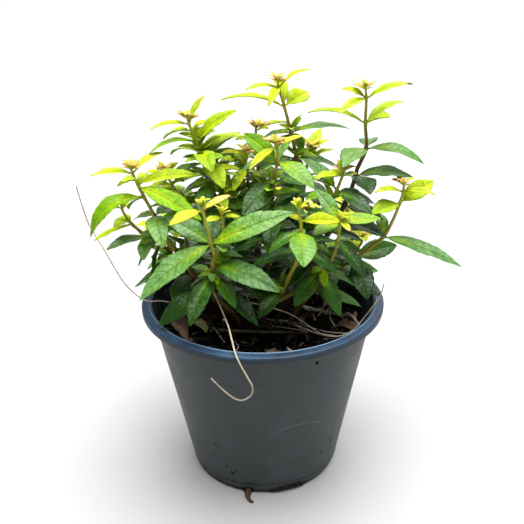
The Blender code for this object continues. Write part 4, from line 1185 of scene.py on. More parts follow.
def draped(draw, x, y, length, radius, lift):
    """Course of a fibre that lies over the soil's bumps."""
    heading = draw.uniform(0, math.tau)
    turn = draw.uniform(-FIBRE_BEND, FIBRE_BEND)
    points = []
    step = length / 7
    for _ in range(8):
        points.append(over_bed(x, y, radius * 0.6 + draw.uniform(-0.1, lift)))
        x += step * math.cos(heading)
        y += step * math.sin(heading)
        heading += turn + draw.uniform(-FIBRE_BEND, FIBRE_BEND) * 0.5
        if math.hypot(x, y) > body_radius(SOIL_TOP) - WALL - 3.0:
            break
    return points


def feed(socket, value):
    """Links a socket to a value, or sets its own number or colour."""
    if isinstance(value, Value):
        value.tree.links.new(value.socket, socket)
    elif socket.type == "RGBA":
        socket.default_value = (*value[:3], 1.0)
    else:
        socket.default_value = value


def add_node(tree, kind, inputs=None, **settings):
    """Adds a shader node with its settings; each input is a number, a colour or another node's value."""
    made = tree.nodes.new(kind)
    for name, value in settings.items():
        setattr(made, name, value)
    for key, value in (inputs or {}).items():
        feed(made.inputs[key], value)
    return made


def socket_name(word):
    """Name of a socket as Blender writes it, from a plain word such as patch_scale."""
    return word.replace("_", " ").title().replace("Ior", "IOR")


class Value:
    """One output of a shader node; sums and ranges of it add the nodes that they need."""

    def __init__(self, socket):
        self.socket = socket
        self.tree = socket.id_data

    def node(self, kind, inputs, output=0, **settings):
        """One output of a new node in the same tree."""
        return Value(add_node(self.tree, kind, inputs, **settings).outputs[output])

    def math(self, operation, *others, clamp=False):
        """Result of one sum with this value first."""
        inputs = dict(enumerate((self, *others)))
        return self.node("ShaderNodeMath", inputs, operation=operation, use_clamp=clamp)

    def __add__(self, other):
        return self.math("ADD", other)

    def __sub__(self, other):
        return self.math("SUBTRACT", other)

    def __rsub__(self, other):
        return self.node("ShaderNodeMath", {0: other, 1: self}, operation="SUBTRACT")

    def __mul__(self, other):
        return self.math("MULTIPLY", other)

    def __truediv__(self, other):
        return self.math("DIVIDE", other)

    def __abs__(self):
        return self.math("ABSOLUTE")

    def ranged(self, low, high, to_low=0.0, to_high=1.0):
        """This value taken softly from one range to another."""
        inputs = {0: self, 1: low, 2: high, 3: to_low, 4: to_high}
        return self.node("ShaderNodeMapRange", inputs, interpolation_type="SMOOTHSTEP")

    def mix(self, low, high):
        """Mix of two colours by this value."""
        return self.node("ShaderNodeMix", {0: self, 6: low, 7: high}, 2, data_type="RGBA")

    def shade(self, color):
        """Colour made lighter or darker by this value."""
        grey = self.node("ShaderNodeCombineColor", {0: self, 1: self, 2: self})
        inputs = {0: 1.0, 6: color, 7: grey}
        return self.node("ShaderNodeMix", inputs, 2, data_type="RGBA", blend_type="MULTIPLY")

    def ramp(self, first, *middle, last):
        """Colour by this value through stops, each a place and a colour."""
        made = add_node(self.tree, "ShaderNodeValToRGB", {0: self})
        elements = made.color_ramp.elements
        for element, (position, color) in ((elements[0], first), (elements[-1], last)):
            element.position = position
            element.color = (*color[:3], 1.0)
        for position, color in middle:
            elements.new(position).color = (*color[:3], 1.0)
        return Value(made.outputs[0])

    def noise(self, scale, detail=2.0, rough=0.55):
        """Cloudy noise from 0 to 1 at this place."""
        inputs = {"Vector": self, "Scale": scale, "Detail": detail, "Roughness": rough}
        return self.node("ShaderNodeTexNoise", inputs)

    def cells(self, scale, **settings):
        """Distance from this place to the middle of the nearest of many small cells."""
        return self.node("ShaderNodeTexVoronoi", {"Vector": self, "Scale": scale}, "Distance", **settings)

    def stretched(self, scale):
        """This place scaled by its own factor along each axis."""
        return self.node("ShaderNodeVectorMath", {0: self, 1: scale}, operation="MULTIPLY")

    def from_axis(self):
        """Distance of this place from the upright axis."""
        return self.node("ShaderNodeVectorMath", {0: self.stretched((1, 1, 0))}, "Value", operation="LENGTH")

    def split(self):
        """The three parts of this place."""
        return [Value(part) for part in add_node(self.tree, "ShaderNodeSeparateXYZ", {0: self}).outputs]


class Finish:
    """Material with a Principled shader; constants are set on the shader's own sockets."""

    def __init__(self, name, grain=None, **constants):
        self.material = bpy.data.materials.new(name)
        self.material.use_nodes = True
        self.tree = self.material.node_tree
        self.shader = self.tree.nodes["Principled BSDF"]
        for word, value in constants.items():
            self.shader.inputs[socket_name(word)].default_value = value
        self.place = Value(add_node(self.tree, "ShaderNodeTexCoord").outputs["Object"])
        if grain:
            seen = self.group("fine_grain", vector=self.place, patch_scale=grain[0], grit_scale=grain[1])
            self.patches = seen["Patches"]
            self.grit = seen["Grit"]

    def group(self, name, **inputs):
        """Outputs of a shared effect, placed here with its own values."""
        made = add_node(self.tree, "ShaderNodeGroup", node_tree=bpy.data.node_groups[name])
        for word, value in inputs.items():
            feed(made.inputs[socket_name(word)], value)
        return {output.name: Value(output) for output in made.outputs}

    def value(self, name):
        """One of the values that a piece's points carry."""
        return Value(add_node(self.tree, "ShaderNodeAttribute", attribute_name=name).outputs["Fac"])

    def surface(self, color, rough, relief, strength, distance):
        """Material with its colour, roughness and relief fed to the shader."""
        inputs = {"Height": relief, "Strength": strength, "Distance": distance}
        normal = relief.node("ShaderNodeBump", inputs)
        for socket, value in (("Base Color", color), ("Roughness", rough), ("Normal", normal)):
            feed(self.shader.inputs[socket], value)
        return self.material


def layered(color, *layers):
    """Colour with others laid over it in turn, each through its own mask."""
    for mask, over in layers:
        color = mask.mix(color, over)
    return color


def new_group(name, outputs, **inputs):
    """Inputs and outputs of a new shader node group; an input with no default is a place."""
    group = bpy.data.node_groups.new(name, "ShaderNodeTree")
    for word, default in inputs.items():
        kind = "NodeSocketVector" if default is None else "NodeSocketFloat"
        made = group.interface.new_socket(socket_name(word), in_out="INPUT", socket_type=kind)
        if default is not None:
            made.default_value = default
    for socket in outputs:
        group.interface.new_socket(socket, in_out="OUTPUT", socket_type="NodeSocketFloat")
    given = {output.name: Value(output) for output in group.nodes.new("NodeGroupInput").outputs}
    return given, group.nodes.new("NodeGroupOutput").inputs


def make_grain_group():
    """Fine grain: cloudy patches and small grit."""
    outputs = ("Patches", "Grit")
    given, result = new_group("fine_grain", outputs, vector=None, patch_scale=60.0, grit_scale=900.0)
    feed(result["Patches"], given["Vector"].noise(given["Patch Scale"], 3.0))
    feed(result["Grit"], given["Vector"].noise(given["Grit Scale"], 1.0))


def make_vein_group():
    """Leaf veins from a point's place on its leaf: the rib and the slanted side veins."""
    outputs = ("Rib", "Side Veins", "Out")
    given, result = new_group("leaf_veins", outputs, along=0.0, across=0.0, pairs=9.0, slant=0.13)
    out = abs(given["Across"])
    phase = (given["Along"] - out.math("POWER", 1.2) * given["Slant"]) * given["Pairs"]
    side_line = abs(phase.math("FRACT") - 0.5).ranged(0.42, 0.5)
    feed(result["Out"], out)
    feed(result["Rib"], 1.0 - out.ranged(0.0, given["Along"] * 0.05 + 0.1))
    feed(result["Side Veins"], side_line * out.ranged(1.0, 0.75))


def make_stain_group():
    """Dry splashes of soil: patches with ragged edges."""
    given, result = new_group("soil_stain", ("Mask",), vector=None, scale=90.0, cover=0.35)
    edge = 1.0 - given["Cover"]
    feed(result["Mask"], given["Vector"].noise(given["Scale"], 5.0, 0.65).ranged(edge, edge + 0.12))


def make_mark_group():
    """Thin curved line on the pot's wall: its turn is in degrees, its other measures in millimetres."""
    measures = {"turn": 0.0, "height": 0.0, "reach": 0.0, "sag": 0.0, "width": 0.0}
    given, result = new_group("wall_mark", ("Mask",), vector=None, **measures)
    x, y, z = given["Vector"].split()
    turned_to = y.math("ARCTAN2", x) - given["Turn"].math("RADIANS")
    share = turned_to * given["Vector"].from_axis() * (1.0 / MM) / given["Reach"]
    off = abs(z * (1.0 / MM) - (given["Height"] - given["Sag"] * (share * share)))
    on_line = 1.0 - off.ranged(0.0, given["Width"])
    feed(result["Mask"], on_line * (1.0 - abs(share).ranged(0.75, 1.0)))


def make_groups():
    """Builds the shared shader effects once."""
    if "fine_grain" not in bpy.data.node_groups:
        make_grain_group()
        make_vein_group()
        make_stain_group()
        make_mark_group()


def pot_finish(settings):
    """Dull moulded plastic: dark body and bluer rim, with scuffs and dried soil; painted shade makes the
    inside near-black and darkens the groove and the rim below its top, a painted highlight runs along the
    rim's crest, and the rim's blue is partly a painted sky reflection.
    """
    finish = Finish("pot_plastic_worn_and_painted_light", (42.0, 1400.0), specular_ior_level=0.36)
    patches = finish.patches
    height = finish.place.split()[2]
    radius = finish.place.from_axis()
    body = patches.ranged(0.42, 0.68).mix(settings.body_color, settings.body_light)
    streaks = finish.place.stretched(WALL_STREAKS).noise(1.0, 3.0)
    body = streaks.ranged(0.5, 0.8, 0.0, 0.35).mix(body, settings.body_light)
    # The rim's blue, with its paler patches, is partly the plastic's own colour and partly a painted
    # reflection of the sky on its upward face.
    rim = patches.ranged(0.3, 0.7).mix(settings.rim_color, settings.rim_light)
    # Painted shade: below its top face the rim is darkened towards the shade colour.
    skirt = height.ranged((RIM_TOP - 1.2) * MM, (RIM_TOP - 2.2) * MM, 0.0, 0.8)
    at_rim = height.ranged((RIM_TOP - SKIRT_HEIGHT - 1.0) * MM, (RIM_TOP - SKIRT_HEIGHT + 1.5) * MM)
    outer, inner = RIM_RADIUS - RIM_ROUND, MOUTH_RADIUS + MOUTH_ROUND
    # Painted highlight: a pale line along the rim's crest, near its bead.
    crest = abs(radius - (outer + (inner - outer) * RIM_BEAD_SHARE) * MM).ranged(0.8 * MM, 0.0)
    crest = crest * height.ranged((RIM_TOP - 0.5) * MM, RIM_TOP * MM, 0.0, 0.85)
    taper = (BODY_TOP_RADIUS - BASE_RADIUS) / (RIM_TOP - CORNER)
    wall = height * taper + (BASE_RADIUS - CORNER * taper - 0.9) * MM
    # Painted shade in the groove near the pot's foot.
    groove = abs(height - GROOVE_Z * MM).ranged(1.1 * MM, 0.0)
    marks = None
    for *measures, strength in WALL_MARKS:
        named = dict(zip(("turn", "height", "reach", "sag", "width"), measures))
        mark = finish.group("wall_mark", vector=finish.place, **named)["Mask"] * strength
        marks = marks.math("MAXIMUM", mark) if marks else mark
    stain = finish.group("soil_stain", vector=finish.place, scale=38.0, cover=0.34)["Mask"]
    low = stain * height.ranged(40.0 * MM, 0.0, 0.05, 0.5)
    # Painted shade: the inner wall and the groove take the dark shade colour, and the rim below its top face
    # is darkened towards it.
    color = layered(at_rim.mix(body, skirt.mix(rim, settings.painted_shade_color)),
                    ((wall - radius).ranged(-0.2 * MM, 0.3 * MM), settings.painted_shade_color),
                    (crest, settings.crest_highlight_color), (groove * 0.55, settings.painted_shade_color),
                    (marks, settings.scratch_color), (low, settings.dirt_color))
    rough = patches.ranged(0.25, 0.75, 0.4, 0.56) + low * 0.4
    return finish.surface(color, rough, finish.grit * 0.5 + marks * -0.6, 0.25, 0.3 * MM)


def soil_finish(name, dark, light):
    """Damp compost: near-black crumbs with browner ones among them."""
    finish = Finish(name, (170.0, 700.0), specular_ior_level=0.12)
    tone = finish.place.cells(420.0) * 0.5 + finish.patches * 0.6 + finish.value("tint") * 0.45
    rough = finish.patches.ranged(0.3, 0.7, 0.7, 1.0)
    return finish.surface(tone.ranged(0.45, 1.15).mix(dark, light), rough, finish.grit + tone, 0.8, 1.2 * MM)


def leaf_finish(settings, name, **constants):
    """Living leaf: pink at the bud, yellow-green, then dark green with age; furrowed veins with painted
    shadow in them, a painted pale sheen on the outer blade, and a soft sheen.
    """
    finish = Finish(name, (210.0, 1500.0), subsurface_scale=1.4 * MM, subsurface_radius=LEAF_GLOW,
                    **constants)
    age = finish.value("age")
    along = finish.value("along")
    raw_tint = finish.value("tint")
    patches = finish.patches
    veins = finish.group("leaf_veins", along=along, across=finish.value("across"))
    tint = raw_tint.math("MINIMUM", 1.0)
    drift = (tint - 0.5) * age.ranged(0.0, 0.3, 0.04, 0.22)
    from_foot = along + veins["Out"] * 0.7
    base_pull = from_foot.ranged(0.85, 0.1) * age.ranged(0.1, 0.6, 0.0, 0.36)
    color = (age + drift).math("SUBTRACT", base_pull, clamp=True).ramp(
        (0.0, settings.bud_color), (0.05, settings.young_color), (0.38, settings.fresh_color),
        (0.68, settings.grown_color), last=(1.0, settings.old_color))
    blush = (along + veins["Out"] * 0.25).ranged(0.62, 1.15) * age.ranged(0.14, 0.04)
    blush = blush * tint.ranged(0.3, 1.0, 0.05, 0.7)
    bud = along.ranged(0.05, 0.8) * age.ranged(0.03, 0.0)
    # Painted sheen: a pale layer over the outer blade of young and of full-grown leaves stands in for the
    # sky's reflection.
    painted_sheen = from_foot.ranged(0.35, 1.1) * age.ranged(0.42, 0.3, 0.0, 0.2) * tint.ranged(0.1, 0.9, 0.35, 1.0)
    grown_sheen = age.ranged(0.42, 0.58) * age.ranged(0.84, 0.7, 0.0, 0.52) * along.ranged(0.15, 0.6, 0.1, 1.0)
    grown_sheen = grown_sheen * patches.ranged(0.3, 0.7, 0.45, 1.0)
    color = layered(color, (blush.math("MAXIMUM", bud), settings.blush_color), (painted_sheen, settings.young_sheen_color),
                    (grown_sheen, settings.grown_sheen_color))
    # Painted shadow: the side veins, and the rib on older leaves, are darkened as if shaded in their furrows.
    side_veins = veins["Side Veins"] * patches.ranged(0.35, 0.65, 0.35, 1.0)
    rib_groove_shadow = age.ranged(0.35, 0.6) * along.ranged(0.15, 0.4)
    rib_color = rib_groove_shadow.mix(settings.rib_color, settings.vein_furrow_shadow_color)
    under = finish.value("under").ranged(0.4, 1.0) * age.ranged(0.04, 0.3, 0.0, 0.4)
    color = layered(patches.ranged(0.3, 0.7, 0.78, 1.16).shade(color),
                    (side_veins * age.ranged(0.3, 0.8, 0.02, 0.12), settings.vein_furrow_shadow_color),
                    (veins["Rib"] * along.ranged(1.0, 0.0, 0.3, 0.75), rib_color),
                    (under, settings.under_color),
                    (raw_tint.ranged(1.4, 1.8) * along.ranged(0.82, 0.9), settings.scorch_color))
    rough = patches.ranged(0.2, 0.8, 0.32, 0.48) + age.ranged(0.15, 0.7, 0.2, 0.0)
    blister = finish.place.cells(500.0, feature="SMOOTH_F1") * age.ranged(0.1, 0.6, -0.3, -0.9)
    return finish.surface(color, rough, blister - side_veins * 0.78 - veins["Rib"] * 0.5, 0.74, 0.7 * MM)


def stem_finish(settings):
    """Stem: yellow-green near the tip, red-brown streaks lower down and grey-brown bark at the foot."""
    finish = Finish("verbena_stem", subsurface_weight=0.08, subsurface_scale=1.0 * MM)
    streaks = finish.place.stretched(STEM_STREAKS).noise(1.0, 3.0)
    aged = finish.value("age").math("ADD", streaks.ranged(0.25, 0.75, -0.16, 0.16), clamp=True)
    color = aged.ramp((0.0, settings.top_color), (0.28, settings.olive_color), (0.62, settings.red_color),
                      last=(1.0, settings.bark_color))
    return finish.surface(color, streaks.ranged(0.3, 0.7, 0.5, 0.75), streaks, 0.5, 0.5 * MM)


def straw_finish(name, pale, dark, grey):
    """Bleached dry stem with lengthwise fibres, greyer towards its end, and dark at its foot from soil and
    painted shade.
    """
    finish = Finish(name, (160.0, 1300.0), specular_ior_level=0.35)
    tone = finish.patches * 0.8 + finish.value("tint") * 0.35
    stain = finish.group("soil_stain", vector=finish.place, scale=120.0, cover=0.42)["Mask"]
    color = layered(tone.ranged(0.35, 0.85).mix(pale, dark),
                    (finish.value("along").ranged(0.55, 1.0, 0.0, 0.55), grey), (stain * 0.4, grey),
                    # Dark foot: soil on the stalk and painted shade where it runs low in the crown.
                    (finish.value("under").ranged(0.0, 0.8, 0.0, 0.93), SOIL_AND_SHADE_COLOR))
    return finish.surface(color, finish.grit.ranged(0.3, 0.7, 0.6, 0.9), finish.grit, 0.5, 0.4 * MM)


def dead_leaf_finish(name, light, dark):
    """Dry curled leaf: mottled brown with darker veins and edge."""
    finish = Finish(name, (190.0, 1200.0), specular_ior_level=0.25)
    veins = finish.group("leaf_veins", along=finish.value("along"), across=finish.value("across"), pairs=6.0)
    tone = finish.patches + veins["Out"].ranged(0.6, 1.0) * 0.25 + (finish.value("tint") - 0.5) * 0.5
    color = layered(tone.ranged(0.3, 0.85).mix(light, dark), (veins["Side Veins"] * 0.35, dark))
    rough = finish.grit.ranged(0.3, 0.7, 0.65, 0.95)
    return finish.surface(color, rough, finish.patches - veins["Side Veins"] * 0.6, 0.7, 0.8 * MM)


def color_of(what, default):
    """Colour of a part, which a user may change."""
    return FloatVectorProperty(name=what.capitalize(), description=f"Colour of the {what}", default=default,
                               subtype="COLOR", min=0, max=1)


def strength_of(what, default):
    """Strength of a light, which a user may change."""
    return FloatProperty(name=what.capitalize(), description=f"Strength of the {what}", default=default,
                         min=0)


def count_of(what, default):
    """Number of like pieces on the soil, which a user may change."""
    return IntProperty(name=what.capitalize(), description=f"How many {what} lie on the soil",
                       default=default, min=0)


def measure_of(what, default, unit):
    """Measure of the camera, which a user may change."""
    return FloatProperty(name=what.capitalize(), description=f"The {what}", default=default, unit=unit)


class PotSettings(bpy.types.PropertyGroup):
    """Finish of the pot."""

    body_color: color_of("pot's wall", (0.024, 0.0325, 0.0315))
    body_light: color_of("wall's paler patches and streaks", (0.036, 0.045, 0.052))
    rim_color: color_of("rim", (0.006, 0.019, 0.04))
    rim_light: color_of("rim's paler patches", (0.014, 0.05, 0.102))
    crest_highlight_color: color_of("rim's painted crest highlight", (0.12, 0.2, 0.3))
    painted_shade_color: color_of("painted shade inside, in the groove and on the rim's lip", (0.009, 0.014, 0.018))
    scratch_color: color_of("scuffed lines on the wall", (0.13, 0.16, 0.17))
    dirt_color: color_of("dried splashes of soil", (0.03, 0.024, 0.018))


class SoilSettings(bpy.types.PropertyGroup):
    """Finish and litter of the soil."""

    dark_color: color_of("damp crumbs", (0.0014, 0.0011, 0.0009))
    light_color: color_of("drier crumbs", (0.007, 0.005, 0.0034))
    fibre_color: color_of("bark fibres", (0.22, 0.16, 0.085))
    fibre_shade: color_of("bark fibres' darker patches", (0.045, 0.03, 0.016))
    crumbs: count_of("loose crumbs", 1100)
    fibres: count_of("bark fibres", 110)
    chips: count_of("bark chips", 90)


class PlantSettings(bpy.types.PropertyGroup):
    """Colours of the leaves and stems."""

    bud_color: color_of("unopened leaves", (0.68, 0.58, 0.05))
    young_color: color_of("youngest leaves", (0.37, 0.44, 0.0))
    fresh_color: color_of("fresh leaves", (0.16, 0.32, 0.0))
    grown_color: color_of("grown leaves", (0.046, 0.155, 0.002))
    old_color: color_of("oldest leaves", (0.007, 0.036, 0.001))
    blush_color: color_of("young leaf tips", (0.72, 0.36, 0.2))
    young_sheen_color: color_of("painted sheen on young leaves", (0.55, 0.74, 0.12))
    grown_sheen_color: color_of("painted sheen on full-grown leaves", (0.165, 0.31, 0.12))
    rib_color: color_of("midribs", (0.32, 0.42, 0.015))
    vein_furrow_shadow_color: color_of("painted shadow in the vein furrows", (0.012, 0.05, 0.005))
    under_color: color_of("leaves' paler undersides", (0.085, 0.17, 0.02))
    scorch_color: color_of("dried leaf tip", (0.02, 0.016, 0.01))
    top_color: color_of("stems just under their tips", (0.36, 0.35, 0.006))
    olive_color: color_of("young stems", (0.22, 0.165, 0.006))
    red_color: color_of("ripening stems", (0.1, 0.048, 0.01))
    bark_color: color_of("woody stem feet", (0.055, 0.034, 0.019))


class DrySettings(bpy.types.PropertyGroup):
    """Colours of stalks, twigs, dead leaves and root."""

    straw_color: color_of("dry stalks", (0.56, 0.5, 0.37))
    bleach_color: color_of("bleached twigs and curls", (0.86, 0.78, 0.64))
    straw_shade: color_of("dry stalks' darker patches", (0.3, 0.24, 0.15))
    grey_color: color_of("weathered ends", (0.2, 0.18, 0.145))
    twig_color: color_of("dead twigs", (0.42, 0.32, 0.2))
    brown_leaf: color_of("brown dead leaves", (0.25, 0.175, 0.125))
    yellow_leaf: color_of("yellowed dead leaves", (0.5, 0.52, 0.2))
    dark_leaf: color_of("dead leaves' darker patches", (0.06, 0.035, 0.02))
    root_color: color_of("root", (0.04, 0.017, 0.006))
    stalk_width: FloatProperty(name="Stalk width", default=1.0, min=0.5, max=1.0, subtype="FACTOR",
                               description="Share of the solids' thickness that dry stalks keep")


class StageSettings(bpy.types.PropertyGroup):
    """Floor, lights and camera."""

    floor_color: color_of("floor", (0.365, 0.365, 0.363))
    horizon: strength_of("pale band round the horizon", 0.96)
    sky_strength: strength_of("even light from all round", 0.06)
    top_strength: strength_of("soft light above", 8.6)
    back_power: strength_of("wide light behind", 24.0)
    front_power: strength_of("weak front light", 2.0)
    top_spread: measure_of("spread of the soft light above", math.radians(60.0), "ROTATION")
    distance: measure_of("camera's distance from its aim", 0.6, "LENGTH")
    aim_height: measure_of("height of the camera's aim", 0.1755, "LENGTH")
    tilt: measure_of("camera's tilt downwards", math.radians(24.0), "ROTATION")
    roll: measure_of("camera's roll", math.radians(-0.92), "ROTATION")
    lens: measure_of("camera's focal length", 53.1, "CAMERA")


class VERBENA_OT_pot(bpy.types.Operator):
    """Builds the pot with its rim, groove, drain notches and specks of dirt"""

    bl_idname = "verbena.pot"
    bl_label = "Pot"

    def execute(self, context):
        make_groups()
        settings = context.scene.verbena_pot
        gather = Gather()
        gather.add(*turned(outer_profile() + pot_inside()[::-1], LATHE_SIDES))
        cut_notches(gather.piece("pot_body", [pot_finish(settings)], ["pot"], POT_SHARP))
        dirt = soil_finish("dried_soil", context.scene.verbena_soil.light_color, settings.dirt_color)
        draw = random.Random(SEED + 2)
        specks = Gather()
        for angle, height, wide, high in WALL_SPECKS:
            spot = wall_point(angle, height)
            out = (wall_point(angle, height, 1.0) - spot).normalized()
            up = (wall_point(angle, height + 1.0) - spot).normalized()
            specks.lump(spot, (up.cross(out) * wide * 0.9, out * 0.25, up * high * 0.9), draw)
        x, y = ROOT_PATH[2][:2]
        for _ in range(ROOT_SOIL):
            axes = half_axes(draw.uniform(0.5, 1.3), draw.uniform(0.5, 1.3), 0.8 * draw.uniform(0.5, 1.3))
            over = (draw.uniform(-3.2, 3.2), draw.uniform(-2, 1.5), 1.3 + 3.2 * draw.random() ** 2)
            specks.lump(Vector((x, y, 0)) + Vector(over), axes, draw)
        low, high = NOTCH_SOIL
        for _ in range(FOOT_SOIL):
            angle = draw.uniform(low, high)
            middle = 1.0 - abs(angle - (low + high) / 2) / (high - low) * 2
            height = draw.uniform(1.2, 2.6 + 5.4 * min(1.0, middle * 2.2))
            size = draw.uniform(0.6, 1.5)
            spot = wall_point(angle, height, draw.uniform(-0.9, 0.1))
            specks.lump(spot, half_axes(size, size, size * 0.8), draw)
        specks.piece("pot_dirt", [dirt], sharp=CRUMB_SHARP)
        return {"FINISHED"}


class VERBENA_OT_soil(bpy.types.Operator):
    """Builds the compost with its crumbs, bark chips and fibres"""

    bl_idname = "verbena.soil"
    bl_label = "Soil"

    def execute(self, context):
        make_groups()
        settings = context.scene.verbena_soil
        finish = soil_finish("potting_compost", settings.dark_color, settings.light_color)
        edge = body_radius(SOIL_TOP) - WALL - GAP
        profile = [(0, FLOOR_THICK + GAP)] + inner_profile(GAP, SOIL_TOP - 6.0)
        below = 1 + (len(profile) - 1) * SOIL_SIDES
        profile.extend((edge * (1.0 - ring / SOIL_RINGS) - 0.3, SOIL_TOP) for ring in range(1, SOIL_RINGS))
        points, faces = turned(profile + [(0, SOIL_TOP)], SOIL_SIDES)
        for point in points[below:]:
            point.z = bed_height(point.x, point.y)
        bed = Gather()
        bed.add(points, faces)
        bed.piece("soil_bed", [finish], ["soil"])
        draw = random.Random(SEED + 3)
        crumbs = Gather()
        for _ in range(settings.crumbs):
            x, y = on_soil(draw, 4.0)
            size = 0.45 + 1.5 * draw.random() ** 3
            crumbs.lump(over_bed(x, y, size * 0.25), half_axes(size, size * 0.85, size * 0.75), draw)
        crumbs.piece("soil_crumbs", [finish], sharp=CRUMB_SHARP)
        fibre = straw_finish("bark_fibre", settings.fibre_color, settings.fibre_shade, settings.fibre_shade)
        chips = Gather()
        for _ in range(settings.chips):
            x, y = on_soil(draw, 5.0)
            turn = Matrix.Rotation(draw.uniform(0, math.tau), 3, "Z")
            turn = turn @ Matrix.Rotation(draw.uniform(-0.4, 0.4), 3, "X")
            size = draw.uniform(1.4, 4.2)
            axes = [turn @ axis for axis in half_axes(size, size * 0.35, size * 0.16)]
            chips.lump(over_bed(x, y, 0.35), axes, draw)
        for _ in range(settings.fibres):
            x, y = on_soil(draw, 6.0)
            radius = draw.uniform(0.16, 0.42)
            course = draped(draw, x, y, draw.uniform(6, 30), radius, draw.uniform(0.3, 1.8))
            if len(course) > 3:
                radii = [radius * (1.0 - 0.5 * share) for share in shares_of(course)]
                chips.rod(course, radii, 5, tint=draw.random(), along=0.2)
        chips.piece("soil_fibres", [fibre], sharp=40)
        return {"FINISHED"}


class VERBENA_OT_shoots(bpy.types.Operator):
    """Builds the leafy stems, each with its leaves, axil leaves and tip cluster"""

    bl_idname = "verbena.shoots"
    bl_label = "Leafy Stems"

    def execute(self, context):
        make_groups()
        settings = context.scene.verbena_plant
        grown = leaf_finish(settings, "verbena_leaf", coat_weight=0.045, coat_roughness=0.3,
                            subsurface_weight=0.1, specular_ior_level=0.27)
        young = leaf_finish(settings, "verbena_young_leaf", specular_ior_level=0.15, subsurface_weight=0.35)
        finishes = [grown, stem_finish(settings), young]
        solids = plan_solids()
        tries = bends()
        leaves = plan_leaves((table_leaves, tip_leaves, grown_leaves), random.Random(SEED), solids, tries)
        gentle = [bend for bend in tries if bend[2] < GENTLE_LIFT][:FEW_TRIES]
        fillers = (filler_leaves, axil_leaves, gap_leaves)
        leaves += plan_leaves(fillers, random.Random(SEED + 4), solids, gentle)
        draw = random.Random(SEED + 5)
        for name, courses in STEMS.items():
            gather = Gather()
            for leaf in leaves:
                if leaf["node"] == name:
                    fine_leaf(gather, leaf, draw, curl=0.25 if leaf["age"] < 0.05 else 0.0)
            for index, course in enumerate(courses):
                fine_stem(gather, course, draw, GREEN_AGEING if name in GREEN_STEMS else STEM_AGEING)
                for leaf in cluster_leaves(course, draw, (name, index) in SMALL_BUDS):
                    fine_leaf(gather, leaf, draw, fold=38, curl=0.3)
            gather.piece(name.replace("stem", "shoot"), finishes, [name])
        return {"FINISHED"}


class VERBENA_OT_stalks(bpy.types.Operator):
    """Builds the three long dry stalks that lean over the rim"""

    bl_idname = "verbena.stalks"
    bl_label = "Dry Stalks"

    def execute(self, context):
        make_groups()
        settings = context.scene.verbena_dry
        straw = straw_finish("dry_straw", settings.straw_color, settings.straw_shade, settings.grey_color)
        draw = random.Random(SEED + 6)
        for name, (path, radius) in STALKS.items():
            course = smooth_path(path, 1.4)
            radii = []
            for point, share in zip(course, shares_of(course)):
                knot = 0.22 * math.exp(-((share * 5.0 % 1.0 - 0.5) / 0.06) ** 2)
                uneven = 0.12 * noise.noise(point * 0.21)
                radii.append(settings.stalk_width * radius * (1.08 - 0.22 * share + knot + uneven))
            along = shares_of(course, STALK_SIDES)
            # How dark each point is at the stalk's foot, from soil and painted shade.
            under = [max(0.0, min(1.0, (STALK_FEET[name] - share) / 0.06)) for share in along]
            gather = Gather()
            gather.rod(course, radii, STALK_SIDES, 0.06, 3, along=along, tint=draw.random(), under=under)
            for branch in STALK_BRANCHES.get(name, ()):
                fork = smooth_path(branch, 1.4)
                gather.rod(fork, [radius * 0.95] * len(fork), STALK_SIDES, 0.06, 3, tint=draw.random())
            gather.piece(name.replace("stalk", "dry_stalk"), [straw], [name])
        return {"FINISHED"}


